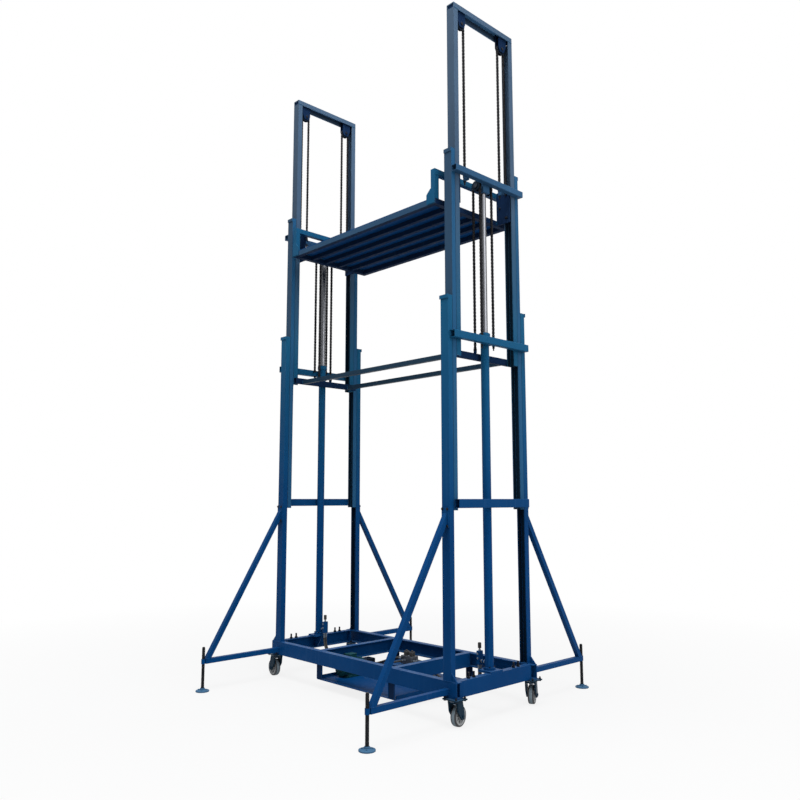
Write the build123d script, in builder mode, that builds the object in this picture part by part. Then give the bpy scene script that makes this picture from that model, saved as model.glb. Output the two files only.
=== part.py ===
import math
import os

from build123d import *

# Electric cargo lift: a wheeled base, two three-stage masts and a platform carried between them.
# X runs from mast to mast, Y from the front to the back, Z up from the floor. Sizes are in millimetres.
# The pose is the one with the platform about two thirds of the way up.

# Mast posts: channels that open towards the middle of their mast, one stage inside the next
POST_X = 934.0
POST_W = 68.0
WALL = 6.0
ROOT_R = 4.0
OUTER_FACE = 414.0
OUTER_D = 43.0
OUTER_Z = (278.0, 2784.0)
MID_FACE = 368.0
MID_D = 36.0
MID_Z = (1346.0, 3836.0)
INNER_FACE = 329.0
INNER_D = 43.0
INNER_Z = (2380.0, 4904.0)
TOP_BEAM_Z = 4942.0
TOP_SKIRT = 14.0
LIP = (80.0, 6.0, 26.0)
MID_LIP = (68.0, 6.0, 26.0)
GUSSET_L = 46.0
GUSSET_H = 52.0
GUSSET_T = 8.0

# Base frame of channel steel
RAIL_H = 100.0
RAIL_D = 48.0
RAIL_TOP = 278.0
RAIL_HALF = 1015.0
END_FACE = 999.0
CROSS_FACE = 434.0
SEAT_X = 884.0
SEAT_HALF = 60.0
SEAT_T = 12.0
SEAT_RIB = 12.0

# Crossbeams of rectangular tube, on the outer side of the masts except the inner stage's
BEAM_X = 970.0
BEAM_D = 44.0
BEAM_WALL = 3.0
BEAM_R = 4.0
PAD = 2.0
PAD_W = 25.0
OUTER_BEAM_HALF = 398.0
OUTER_BEAM_Z = (2489.0, 2540.0)
MID_TOP_Z = (3660.0, 3705.0)
MID_BOTTOM_Z = (1361.0, 1420.0)
INNER_BEAM_X = 866.0
INNER_BEAM_D = 30.0
INNER_BEAM_Z = (2388.0, 2436.0)
TIE = 33.0
TIE_Y = 245.0
TIE_Z = 2405.0

# Lift cylinders and plunger rods
BARREL_R = 30.0
BORE_R = 25.0
ROD_R = 22.5
BARREL_Z = (290.0, 2546.0)
BARREL_FLOOR = 316.0
FOOT_R = 40.0
FOOT_T = 16.0
GLAND = (35.0, 44.0)
GLAND_Z = 2580.0
ROD_Z = (1330.0, 3607.0)
PORT_R = 11.0
PORT_X = 896.0
PORT_Z = 335.0
FIT = 0.05

# Chains, sheaves and rollers
CHAIN_W = 16.0
CHAIN_T = 12.0
LIFT_SHEAVE = (930.0, 62.0, 3652.0)
LIFT_PITCH_R = 32.0
TOP_SHEAVE = (934.0, 228.0, 4822.0)
TOP_PITCH_R = 35.0
SHEAVE_W = 20.0
FLANGE_UP = 6.0
GROOVE_W = 17.0
AXLE_R = 10.0
PIN_R = 8.0
LIFT_ANCHOR_Z = 2520.0
INNER_ANCHOR_Z = 2452.0
MID_ANCHOR_Z = 3680.0
CARRIAGE_ANCHOR_Z = 3720.0
ROLLER_R = 27.0
STUB_R = 10.0
MID_ROLLER_Z = (1386.0, 1806.0)
INNER_ROLLER_Z = (2420.0, 2840.0)
CARRIAGE_ROLLER_Z = (3500.0, 3680.0)

# Platform
DECK_HALF_X = 798.0
FRAME_HALF_X = 800.0
DECK_HALF_Y = 400.0
DECK_Z = (3500.0, 3506.0)
FRAME_Z = 3462.0
FRAME_T = 4.0
EDGE_W = 40.0
RIB_W = 30.0
RIB_Y = (72.0, 216.0)
END_BAR = 40.0
END_TOP_Z = (3675.0, 3715.0)
CARRIAGE_Y = (270.0, 280.0)
CARRIAGE_X = (840.0, 962.0)

# Outriggers and jacks
JACK_Y = 1080.0
BEAM_SIDE = 35.0
TUBE_WALL = 3.0
BEAM_MID_Z = 216.0
NUT_R = 15.0
SCREW_R = 12.0
SCREW_TOP = 320.0
JACK_FOOT_R = 50.0
JACK_FOOT_T = 15.0
JACK_RIM_T = 9.0
JACK_BOSS_R = 18.0
JACK_BOSS_TOP = 26.0
BRACE = 35.0
BRACE_LOW_Y = 1045.0
BRACE_HIGH_Z = 1308.0
BRACE_PLATE = (60.0, 8.0, 130.0)

# Casters
CASTER_X = 978.0
CASTER_Y = 390.0
TRAIL = 38.0
WHEEL_R = 65.0
WHEEL_W = 42.0
HUB_W = 55.0
CASTER_PLATE = (120.0, 104.0, 8.0)
PLATE_BOLT = (48.0, 41.0)
CASTER_TURN = {(1, -1): 100, (1, 1): 117, (-1, -1): 175, (-1, 1): 130}
KING_R = 8.0
KING_LOW = 147.0
FORK_HEAD_R = 36.0
FORK_CROWN = 12.0
FORK_IN = 28.0
FORK_T = 10.0
FORK_AXLE_R = 6.0

# Power pack
TRAY_HALF_X = 430.0
TRAY_HALF_Y = 400.0
TRAY_Z = (67.0, 72.0)
TRAY_LIP = 20.0
STRAP = (60.0, 6.0)
TANK = (340.0, 260.0, 93.0)
TANK_Y = 170.0
MOTOR = (-325.0, -160.0, 140.0)
MOTOR_R = 62.0
MOTOR_L = 220.0
MANIFOLD = (120.0, 75.0, 60.0)
MANIFOLD_Y = 160.0
COIL = (32.0, 32.0, 31.0)
COIL_X = 30.0
VALVE_X = 850.0
VALVE = (24.0, 40.0, 90.0)
VALVE_Z = 310.0
HOSE_R = 7.0
HOSE_GAP = 9.0


def channel(width, depth, wall):
    """Section of a channel: web on y = 0, flanges towards +y, rounded roots."""
    with BuildSketch() as section:
        Rectangle(width, depth, align=(Align.CENTER, Align.MIN))
        with Locations((0, wall)):
            Rectangle(width - 2 * wall, depth - wall, align=(Align.CENTER, Align.MIN), mode=Mode.SUBTRACT)
        fillet(section.vertices().filter_by(lambda v: abs(v.Y - wall) < 0.01), ROOT_R)
    return section.sketch


def tube(width, height, wall, radius):
    """Section of a rectangular tube with rounded corners."""
    with BuildSketch() as section:
        RectangleRounded(width, height, radius)
        RectangleRounded(width - 2 * wall, height - 2 * wall, max(radius - wall, 0.5), mode=Mode.SUBTRACT)
    return section.sketch


def corner_radii(points):
    """Largest smooth radius at each inner point of a hose's route."""
    radii = []
    for before, here, after in zip(points, points[1:], points[2:]):
        run_in = Vector(*here) - Vector(*before)
        run_out = Vector(*after) - Vector(*here)
        turn = math.radians(run_in.get_angle(run_out))
        radii.append(0.45 * min(run_in.length, run_out.length) / math.tan(turn / 2))
    return radii


def across(x, half, z):
    """Plane for a section that runs along Y from the front."""
    return Plane(origin=(x, -half, z), x_dir=(1, 0, 0), z_dir=(0, 1, 0))


# Front and back rails, webs outwards
with BuildPart() as front_rail:
    with BuildSketch(Plane((-RAIL_HALF, -OUTER_FACE, RAIL_TOP - RAIL_H / 2), (0, 0, -1), (1, 0, 0))):
        add(channel(RAIL_H, RAIL_D, WALL))
    extrude(amount=2 * RAIL_HALF)

with BuildPart() as back_rail:
    mirror(front_rail.part, about=Plane.XZ)

# End beams between the rails, closed at both ends, each with a ribbed seat for its lift cylinder
BETWEEN = OUTER_FACE - RAIL_D
with BuildPart() as right_end_beam:
    with BuildSketch(Plane((END_FACE, -BETWEEN, RAIL_TOP - RAIL_H / 2), (0, 0, -1), (0, 1, 0))):
        add(channel(RAIL_H, RAIL_D, WALL))
    extrude(amount=2 * BETWEEN)
    for side in (-1, 1):
        with Locations((END_FACE - RAIL_D / 2, side * (BETWEEN - WALL / 2), RAIL_TOP - RAIL_H / 2)):
            Box(RAIL_D, WALL, RAIL_H)
    with Locations(((SEAT_X + END_FACE) / 2, 0, RAIL_TOP + SEAT_T / 2)):
        Box(END_FACE - SEAT_X, 2 * SEAT_HALF, SEAT_T)
    with BuildSketch(Plane.XZ.offset(-SEAT_RIB / 2)):
        with BuildLine():
            Polyline(
                (SEAT_X + 6, RAIL_TOP),
                (END_FACE - WALL, RAIL_TOP),
                (END_FACE - WALL, RAIL_TOP - RAIL_H + WALL),
                (END_FACE - RAIL_D, RAIL_TOP - RAIL_H + WALL),
                close=True,
            )
        make_face()
    extrude(amount=SEAT_RIB)

with BuildPart() as left_end_beam:
    mirror(right_end_beam.part, about=Plane.YZ)

# Two cross members that stiffen the base
with BuildPart() as cross_members:
    with BuildSketch(Plane((CROSS_FACE, -BETWEEN, RAIL_TOP - RAIL_H / 2), (0, 0, -1), (0, 1, 0))):
        add(channel(RAIL_H, RAIL_D, WALL))
    extrude(amount=2 * BETWEEN)
    mirror(about=Plane.YZ)

# Outer posts on the rails, with a lip at the top and a gusset at the foot
with BuildPart() as outer_posts_right:
    with BuildSketch(Plane((POST_X, -OUTER_FACE, OUTER_Z[0]))):
        add(channel(POST_W, OUTER_D, WALL))
    extrude(amount=OUTER_Z[1] - OUTER_Z[0])
    with Locations((POST_X, -OUTER_FACE - LIP[1] / 2, OUTER_Z[1] - LIP[2] / 2)):
        Box(*LIP)
    with BuildSketch(Plane.XZ.offset(OUTER_FACE - 14)):
        with BuildLine():
            Polyline(
                (POST_X + POST_W / 2, RAIL_TOP),
                (POST_X + POST_W / 2 + GUSSET_L, RAIL_TOP),
                (POST_X + POST_W / 2, RAIL_TOP + GUSSET_H),
                close=True,
            )
        make_face()
    extrude(amount=GUSSET_T)
    mirror(about=Plane.XZ)

with BuildPart() as outer_posts_left:
    mirror(outer_posts_right.part, about=Plane.YZ)

# Outer crossbeams, with lugs for the lift chains and a saddle for the cylinder
with BuildPart() as outer_crossbeams:
    with BuildSketch(across(BEAM_X + BEAM_D / 2, OUTER_BEAM_HALF, sum(OUTER_BEAM_Z) / 2)):
        add(tube(BEAM_D, OUTER_BEAM_Z[1] - OUTER_BEAM_Z[0], BEAM_WALL, BEAM_R))
    extrude(amount=2 * OUTER_BEAM_HALF)
    for side in (-1, 1):
        with Locations((BEAM_X - PAD / 2, side * (OUTER_BEAM_HALF - PAD_W / 2), sum(OUTER_BEAM_Z) / 2)):
            Box(PAD, PAD_W, 34)
        with Locations((BEAM_X - 8, side * LIFT_SHEAVE[1], LIFT_ANCHOR_Z - 15)):
            Box(16, CHAIN_W, 30)
    with Locations((BEAM_X - 10, 0, LIFT_ANCHOR_Z - 15)):
        Box(20, 2 * BARREL_R, 30)
    with Locations((POST_X, 0, LIFT_ANCHOR_Z - 15)):
        Cylinder(BARREL_R + FIT, 40, mode=Mode.SUBTRACT)
    mirror(about=Plane.YZ)

# Outrigger beams of square tube, each with the nut for its jack at the tip
BEAM_L = JACK_Y - 14 - OUTER_FACE
with BuildPart() as outrigger_beams:
    for side in (-1, 1):
        with Locations((POST_X, side * (OUTER_FACE + BEAM_L / 2), BEAM_MID_Z)):
            Box(BEAM_SIDE, BEAM_L, BEAM_SIDE)
        with Locations((POST_X, side * (OUTER_FACE + BEAM_L / 2 - 2), BEAM_MID_Z)):
            Box(BEAM_SIDE - 2 * TUBE_WALL, BEAM_L - 4, BEAM_SIDE - 2 * TUBE_WALL, mode=Mode.SUBTRACT)
        with Locations((POST_X, side * JACK_Y, BEAM_MID_Z)):
            Cylinder(NUT_R, BEAM_SIDE)
            Cylinder(SCREW_R + FIT, BEAM_SIDE + 10, mode=Mode.SUBTRACT)
    mirror(about=Plane.YZ)

# Outrigger braces of square tube from the beam tips up to a plate on each post
BEAM_TOP = BEAM_MID_Z + BEAM_SIDE / 2
BRACE_FACE = OUTER_FACE + BRACE_PLATE[1]
BRACE_SLOPE = (BRACE_HIGH_Z - BEAM_TOP) / (BRACE_LOW_Y - OUTER_FACE)
BRACE_END = BRACE_HIGH_Z - BRACE_SLOPE * BRACE_PLATE[1]


def brace_outline(side):
    """Side view of a brace of the given thickness, cut level at the foot and upright at the head."""
    upright = side / 2 * math.hypot(1, BRACE_SLOPE)
    level = upright / BRACE_SLOPE
    with BuildSketch() as section:
        with BuildLine():
            Polyline(
                (-BRACE_LOW_Y - level, BEAM_TOP),
                (-BRACE_LOW_Y + level, BEAM_TOP),
                (-BRACE_FACE, BRACE_END - upright),
                (-BRACE_FACE, BRACE_END + upright),
                close=True,
            )
        make_face()
    return section.sketch


with BuildPart() as outrigger_braces:
    with BuildSketch(Plane.YZ.offset(POST_X - BRACE / 2)):
        add(brace_outline(BRACE))
    extrude(amount=BRACE)
    with BuildSketch(Plane.YZ.offset(POST_X - BRACE / 2 + TUBE_WALL)):
        add(brace_outline(BRACE - 2 * TUBE_WALL))
    extrude(amount=BRACE - 2 * TUBE_WALL, mode=Mode.SUBTRACT)
    with Locations((POST_X, -OUTER_FACE - BRACE_PLATE[1] / 2, BRACE_END + 8)):
        Box(*BRACE_PLATE)
    mirror(about=Plane.XZ)
    mirror(about=Plane.YZ)

# Lift cylinders: foot, barrel, port boss and gland, bored for the plunger
with BuildPart() as lift_cylinders:
    with Locations((POST_X, 0, BARREL_Z[0])):
        Cylinder(FOOT_R, FOOT_T, align=(Align.CENTER, Align.CENTER, Align.MIN))
        Cylinder(BARREL_R, BARREL_Z[1] - BARREL_Z[0], align=(Align.CENTER, Align.CENTER, Align.MIN))
    with BuildSketch(Plane((POST_X, 0, BARREL_Z[1]))):
        Ellipse(*GLAND)
    extrude(amount=GLAND_Z - BARREL_Z[1])
    chamfer(lift_cylinders.edges().group_by(Axis.Z)[-1], 4)
    with BuildSketch(Plane((PORT_X, 0, PORT_Z), (0, 1, 0), (1, 0, 0))):
        Circle(PORT_R)
    extrude(amount=POST_X - PORT_X)
    with Locations((POST_X, 0, BARREL_FLOOR)):
        bore_depth = BARREL_Z[1] - BARREL_FLOOR
        Cylinder(BORE_R, bore_depth, align=(Align.CENTER, Align.CENTER, Align.MIN), mode=Mode.SUBTRACT)
    with Locations((POST_X, 0, BARREL_Z[1])):
        Cylinder(ROD_R + FIT, 60, align=(Align.CENTER, Align.CENTER, Align.MIN), mode=Mode.SUBTRACT)
    mirror(about=Plane.YZ)

# Tray that hangs under the base and its straps
with BuildPart() as power_tray:
    with Locations((0, 0, sum(TRAY_Z) / 2)):
        Box(2 * TRAY_HALF_X, 2 * TRAY_HALF_Y, TRAY_Z[1] - TRAY_Z[0])
    for side in (-1, 1):
        with Locations((side * (TRAY_HALF_X - 2.5), 0, TRAY_Z[1] + TRAY_LIP / 2)):
            Box(5, 2 * TRAY_HALF_Y - 40, TRAY_LIP)

with BuildPart() as tray_straps:
    strap_h = RAIL_TOP - RAIL_H - TRAY_Z[1]
    strap_y = TRAY_HALF_Y - STRAP[1] / 2
    with Locations((0, 0, TRAY_Z[1] + strap_h / 2)):
        with GridLocations(2 * (TRAY_HALF_X - STRAP[0] / 2), 2 * strap_y, 2, 2):
            Box(STRAP[0], STRAP[1], strap_h)

# Power pack: tank with filler cap, motor, pump and manifold
TANK_TOP = TRAY_Z[1] + TANK[2]
with BuildPart() as oil_tank:
    with Locations((0, TANK_Y, TRAY_Z[1] + TANK[2] / 2)):
        Box(*TANK)
    fillet(oil_tank.edges().filter_by(Axis.Z), 12)
    with Locations((TANK[0] / 2 - 50, TANK_Y + 80, TANK_TOP)):
        Cylinder(22, 24, align=(Align.CENTER, Align.CENTER, Align.MIN))

with BuildPart() as pump_motor:
    with BuildSketch(Plane((MOTOR[0], MOTOR[1] - MOTOR_L / 2, MOTOR[2]), (1, 0, 0), (0, 1, 0))):
        Circle(MOTOR_R)
    extrude(amount=MOTOR_L)
    fillet(pump_motor.edges().filter_by(GeomType.CIRCLE).sort_by(Axis.Y)[0], 14)
    with Locations((MOTOR[0], MOTOR[1], TRAY_Z[1] + 20)):
        Box(100, 150, 40)
    with Locations((MOTOR[0], MOTOR[1], MOTOR[2] + MOTOR_R + 10)):
        Box(60, 80, 40)

PUMP_Y = MOTOR[1] + MOTOR_L / 2
with BuildPart() as gear_pump:
    with BuildSketch(Plane((MOTOR[0], PUMP_Y, MOTOR[2]), (1, 0, 0), (0, 1, 0))):
        Circle(45)
    extrude(amount=40)
    with Locations((MOTOR[0], PUMP_Y + 75, MOTOR[2])):
        Box(80, 70, 80)

# Manifold on the tank's lid, with the two coils of its valves
COIL_MID = TANK_TOP + MANIFOLD[2] + COIL[2] / 2
with BuildPart() as manifold:
    with Locations((0, MANIFOLD_Y, TANK_TOP + MANIFOLD[2] / 2)):
        Box(*MANIFOLD)
    chamfer(manifold.edges().filter_by(Axis.Z), 4)
    with Locations((-COIL_X, MANIFOLD_Y, COIL_MID), (COIL_X, MANIFOLD_Y, COIL_MID)):
        Box(*COIL)

# Throttle valves beside the cylinder feet, each with a knob on top
with BuildPart() as throttle_valves:
    with Locations((VALVE_X, 0, VALVE_Z + VALVE[2] / 2)):
        Box(*VALVE)
    with BuildSketch(Plane((VALVE_X + VALVE[0] / 2, 0, PORT_Z), (0, 1, 0), (1, 0, 0))):
        Circle(7)
    extrude(amount=PORT_X - VALVE_X - VALVE[0] / 2)
    mirror(about=Plane.YZ)

VALVE_TOP = VALVE_Z + VALVE[2]
with BuildPart() as valve_knobs:
    with Locations((VALVE_X, 0, VALVE_TOP)):
        Cylinder(5, 24, align=(Align.CENTER, Align.CENTER, Align.MIN))
    with Locations((VALVE_X, 0, VALVE_TOP + 20)):
        Cylinder(12, 34, align=(Align.CENTER, Align.CENTER, Align.MIN))
    mirror(about=Plane.YZ)

# Hoses from the valves down under the base to the manifold, and one from the pump
MANIFOLD_PORT = TANK_TOP + MANIFOLD[2] / 2
HOSE_FAR = (
    (VALVE_X, HOSE_GAP, VALVE_Z),
    (VALVE_X, HOSE_GAP, 215),
    (800, 16, 142),
    (690, 36, 112),
    (560, 68, 106),
    (430, 110, 108),
    (310, 150, 128),
    (205, 174, 172),
    (130, 178, MANIFOLD_PORT),
    (MANIFOLD[0] / 2, 178, MANIFOLD_PORT),
)
HOSE_NEAR = (
    (VALVE_X, -HOSE_GAP, VALVE_Z),
    (VALVE_X, -HOSE_GAP, 226),
    (804, -12, 156),
    (696, 0, 124),
    (562, 28, 112),
    (430, 68, 110),
    (310, 112, 130),
    (205, 138, 172),
    (130, 142, MANIFOLD_PORT),
    (MANIFOLD[0] / 2, 142, MANIFOLD_PORT),
)
HOSE_PUMP = (
    (MOTOR[0] + 40, PUMP_Y + 75, MOTOR[2]),
    (-205, PUMP_Y + 75, MOTOR[2]),
    (-130, PUMP_Y + 52, 160),
    (-60, PUMP_Y + 52, 184),
    (-10, PUMP_Y + 90, MANIFOLD_PORT),
    (-10, MANIFOLD_Y - MANIFOLD[1] / 2, MANIFOLD_PORT),
)


def hose(route):
    """One hose along its route: straight runs joined by tangent arcs."""
    radii = corner_radii(route)
    with BuildPart() as body:
        with BuildLine() as line:
            FilletPolyline(*route, radius=radii)
        with BuildSketch(Plane(origin=line.line @ 0, z_dir=line.line % 0)):
            Circle(HOSE_R)
        sweep()
    length = line.wires()[0].length
    share = body.part.volume / (math.pi * HOSE_R**2 * length)
    print(f"hose length {length:.0f} least radius {min(radii):.0f} volume share {share:.3f}")
    return body.part


with BuildPart() as hydraulic_hoses:
    add(hose(HOSE_FAR))
    add(hose(HOSE_NEAR))
    mirror(about=Plane.YZ)
    add(hose(HOSE_PUMP))

# Caster plates with king pins, and the bolts of the base
PLATE_LOW = RAIL_TOP - RAIL_H - CASTER_PLATE[2]
with BuildPart() as caster_plates:
    with Locations((CASTER_X, -CASTER_Y, PLATE_LOW + CASTER_PLATE[2] / 2)):
        Box(*CASTER_PLATE)
    with Locations((CASTER_X, -CASTER_Y, KING_LOW)):
        Cylinder(KING_R, PLATE_LOW - KING_LOW, align=(Align.CENTER, Align.CENTER, Align.MIN))
    mirror(about=Plane.XZ)
    mirror(about=Plane.YZ)

with BuildPart() as frame_bolts:
    for x in (-PLATE_BOLT[0], PLATE_BOLT[0]):
        for y in (-PLATE_BOLT[1], PLATE_BOLT[1]):
            with BuildSketch(Plane((CASTER_X + x, -CASTER_Y + y, PLATE_LOW - 6))):
                RegularPolygon(8, 6)
            extrude(amount=6)
            with BuildSketch(Plane((CASTER_X + x, -CASTER_Y + y, RAIL_TOP - RAIL_H))):
                RegularPolygon(8, 6)
            extrude(amount=8)
            with Locations((CASTER_X + x, -CASTER_Y + y, RAIL_TOP - RAIL_H + 8)):
                Cylinder(5, 8, align=(Align.CENTER, Align.CENTER, Align.MIN))
    for y in (-255, -205):
        with BuildSketch(Plane((END_FACE - 24, y, RAIL_TOP))):
            RegularPolygon(12, 6)
        extrude(amount=12)
        with Locations((END_FACE - 24, y, RAIL_TOP + 12)):
            Cylinder(7, 26, align=(Align.CENTER, Align.CENTER, Align.MIN))
    mirror(about=Plane.XZ)
    mirror(about=Plane.YZ)

# Caster fork and wheel about the king pin, then turned to the angle that each stands at
with BuildPart() as fork:
    with Locations((0, 0, PLATE_LOW - 0.3)):
        Cylinder(FORK_HEAD_R, 8, align=(Align.CENTER, Align.CENTER, Align.MAX))
    with Locations((4, 0, PLATE_LOW - 8.3)):
        crown = (58, 2 * (FORK_IN + FORK_T), FORK_CROWN)
        Box(*crown, align=(Align.CENTER, Align.CENTER, Align.MAX))
    for side in (-1, 1):
        low = side * (FORK_IN + FORK_T / 2)
        with BuildSketch(Plane((0, low + FORK_T / 2, 0), (1, 0, 0), (0, -1, 0))):
            with BuildLine():
                Polyline(
                    (-25, PLATE_LOW - 8.3),
                    (33, PLATE_LOW - 8.3),
                    (TRAIL + 18, WHEEL_R + 8),
                    (TRAIL + 14, WHEEL_R - 18),
                    (TRAIL - 14, WHEEL_R - 18),
                    (-16, WHEEL_R + 34),
                    close=True,
                )
            make_face()
        extrude(amount=FORK_T)
    with BuildSketch(Plane((TRAIL, -FORK_IN - FORK_T - 5, WHEEL_R), (1, 0, 0), (0, 1, 0))):
        Circle(FORK_AXLE_R)
    extrude(amount=2 * (FORK_IN + FORK_T + 5))
    for side in (-1, 1):
        hub_y = side * (FORK_IN + FORK_T + 2.5) - 2.5
        with BuildSketch(Plane((TRAIL, hub_y, WHEEL_R), (1, 0, 0), (0, 1, 0))):
            RegularPolygon(10, 6)
        extrude(amount=5)
    with Locations((0, 0, PLATE_LOW - 30)):
        Cylinder(KING_R + FIT, 40, align=(Align.CENTER, Align.CENTER, Align.MIN), mode=Mode.SUBTRACT)

with BuildPart() as wheel:
    with BuildSketch(Plane((TRAIL, 0, WHEEL_R), (0, 1, 0), (1, 0, 0))):
        with BuildLine():
            Polyline(
                (-HUB_W / 2, FORK_AXLE_R + FIT),
                (HUB_W / 2, FORK_AXLE_R + FIT),
                (HUB_W / 2, 17),
                (12, 21),
                (12, 41),
                (WHEEL_W / 2, 46),
                (WHEEL_W / 2, WHEEL_R - 6),
                (WHEEL_W / 2 - 6, WHEEL_R),
                (6 - WHEEL_W / 2, WHEEL_R),
                (-WHEEL_W / 2, WHEEL_R - 6),
                (-WHEEL_W / 2, 46),
                (-12, 41),
                (-12, 21),
                (-HUB_W / 2, 17),
                close=True,
            )
        make_face()
    revolve(axis=Axis((TRAIL, 0, WHEEL_R), (0, 1, 0)))


def at_corner(piece, x_side, y_side):
    """The caster piece at one corner of the base, at that caster's angle."""
    with BuildPart() as placed:
        turn = (0, 0, CASTER_TURN[(x_side, y_side)])
        with Locations(Location((x_side * CASTER_X, y_side * CASTER_Y, 0), turn)):
            add(piece.part)
    return placed


fork_front_right = at_corner(fork, 1, -1)
fork_back_right = at_corner(fork, 1, 1)
fork_front_left = at_corner(fork, -1, -1)
fork_back_left = at_corner(fork, -1, 1)
wheel_front_right = at_corner(wheel, 1, -1)
wheel_back_right = at_corner(wheel, 1, 1)
wheel_front_left = at_corner(wheel, -1, -1)
wheel_back_left = at_corner(wheel, -1, 1)

# Jack screws with round feet
with BuildPart() as jack_front_right:
    with Locations((POST_X, -JACK_Y, 0)):
        Cylinder(JACK_FOOT_R, JACK_RIM_T, align=(Align.CENTER, Align.CENTER, Align.MIN))
        Cylinder(JACK_BOSS_R, JACK_BOSS_TOP, align=(Align.CENTER, Align.CENTER, Align.MIN))
        Cylinder(SCREW_R, SCREW_TOP, align=(Align.CENTER, Align.CENTER, Align.MIN))
    with Locations((POST_X, -JACK_Y, JACK_RIM_T)):
        rise = JACK_FOOT_T - JACK_RIM_T
        Cone(JACK_FOOT_R, JACK_BOSS_R, rise, align=(Align.CENTER, Align.CENTER, Align.MIN))
    chamfer(jack_front_right.edges().filter_by(GeomType.CIRCLE).group_by(Axis.Z)[-1], 2)

with BuildPart() as jack_back_right:
    mirror(jack_front_right.part, about=Plane.XZ)
with BuildPart() as jack_front_left:
    mirror(jack_front_right.part, about=Plane.YZ)
with BuildPart() as jack_back_left:
    mirror(jack_back_right.part, about=Plane.YZ)

# Middle stage posts, with a lip at the top
with BuildPart() as mid_posts_right:
    with BuildSketch(Plane((POST_X, -MID_FACE, MID_Z[0]))):
        add(channel(POST_W, MID_D, WALL))
    extrude(amount=MID_Z[1] - MID_Z[0])
    with Locations((POST_X, -MID_FACE - MID_LIP[1] / 2, MID_Z[1] - MID_LIP[2] / 2)):
        Box(*MID_LIP)
    mirror(about=Plane.XZ)

with BuildPart() as mid_posts_left:
    mirror(mid_posts_right.part, about=Plane.YZ)

# Middle top crossbeams, with the head over the rod and lugs for the carriage chains
HEAD_X = 908.0
HEAD_HALF = 34.0
with BuildPart() as mid_top_crossbeams:
    with BuildSketch(across(BEAM_X + BEAM_D / 2, MID_FACE, sum(MID_TOP_Z) / 2)):
        add(tube(BEAM_D, MID_TOP_Z[1] - MID_TOP_Z[0], BEAM_WALL, BEAM_R))
    extrude(amount=2 * MID_FACE)
    for side in (-1, 1):
        with Locations((BEAM_X - PAD / 2, side * (MID_FACE - MID_D / 2), sum(MID_TOP_Z) / 2)):
            Box(PAD, MID_D - 4, 44)
        lug_y = side * (TOP_SHEAVE[1] - TOP_PITCH_R)
        with Locations(((BEAM_X + TOP_SHEAVE[0] - 8) / 2, lug_y, MID_ANCHOR_Z - 15)):
            Box(BEAM_X - TOP_SHEAVE[0] + 8, CHAIN_W, 30)
    with Locations(((HEAD_X + BEAM_X) / 2, 0, (ROD_Z[1] + MID_TOP_Z[1]) / 2)):
        Box(BEAM_X - HEAD_X, 2 * HEAD_HALF, MID_TOP_Z[1] - ROD_Z[1])
    with BuildSketch(across(LIFT_SHEAVE[0], HEAD_HALF + 5, LIFT_SHEAVE[2])):
        Circle(AXLE_R + FIT)
    extrude(amount=2 * HEAD_HALF + 10, mode=Mode.SUBTRACT)
    mirror(about=Plane.YZ)

# Middle bottom crossbeams
with BuildPart() as mid_bottom_crossbeams:
    with BuildSketch(across(BEAM_X + BEAM_D / 2, MID_FACE, sum(MID_BOTTOM_Z) / 2)):
        add(tube(BEAM_D, MID_BOTTOM_Z[1] - MID_BOTTOM_Z[0], BEAM_WALL, BEAM_R))
    extrude(amount=2 * MID_FACE)
    for side in (-1, 1):
        with Locations((BEAM_X - PAD / 2, side * (MID_FACE - MID_D / 2), sum(MID_BOTTOM_Z) / 2)):
            Box(PAD, MID_D - 4, 42)
    mirror(about=Plane.YZ)

# Plunger rods and the axles of the lift sheaves
with BuildPart() as plunger_rods:
    with Locations((POST_X, 0, ROD_Z[0])):
        Cylinder(ROD_R, ROD_Z[1] - ROD_Z[0], align=(Align.CENTER, Align.CENTER, Align.MIN))
    mirror(about=Plane.YZ)

with BuildPart() as sheave_axles:
    with BuildSketch(across(LIFT_SHEAVE[0], LIFT_SHEAVE[1] + 16, LIFT_SHEAVE[2])):
        Circle(AXLE_R)
    extrude(amount=2 * (LIFT_SHEAVE[1] + 16))
    for side in (-1, 1):
        with BuildSketch(across(LIFT_SHEAVE[0], side * (LIFT_SHEAVE[1] + 13.5) + 2.5, LIFT_SHEAVE[2])):
            Circle(AXLE_R + 5)
        extrude(amount=5)
    mirror(about=Plane.YZ)

# Inner stage posts
with BuildPart() as inner_posts_right:
    with BuildSketch(Plane((POST_X, -INNER_FACE, INNER_Z[0]))):
        add(channel(POST_W, INNER_D, WALL))
    extrude(amount=INNER_Z[1] - INNER_Z[0])
    mirror(about=Plane.XZ)

with BuildPart() as inner_posts_left:
    mirror(inner_posts_right.part, about=Plane.YZ)

# Inner crossbeams on the platform side of the cylinders, with anchors for the lift chains
with BuildPart() as inner_crossbeams:
    with BuildSketch(across(INNER_BEAM_X + INNER_BEAM_D / 2, INNER_FACE, sum(INNER_BEAM_Z) / 2)):
        add(tube(INNER_BEAM_D, INNER_BEAM_Z[1] - INNER_BEAM_Z[0], BEAM_WALL, BEAM_R))
    extrude(amount=2 * INNER_FACE)
    inner_gap = POST_X - POST_W / 2 - INNER_BEAM_X - INNER_BEAM_D
    for side in (-1, 1):
        pad_y = side * (INNER_FACE - INNER_D / 2)
        with Locations((INNER_BEAM_X + INNER_BEAM_D + inner_gap / 2, pad_y, 2415)):
            Box(inner_gap, INNER_D - 4, 30)
        with Locations((LIFT_SHEAVE[0] - LIFT_PITCH_R, side * LIFT_SHEAVE[1], INNER_BEAM_Z[1] + 7)):
            Box(16, CHAIN_W, 18)
    mirror(about=Plane.YZ)

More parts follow.
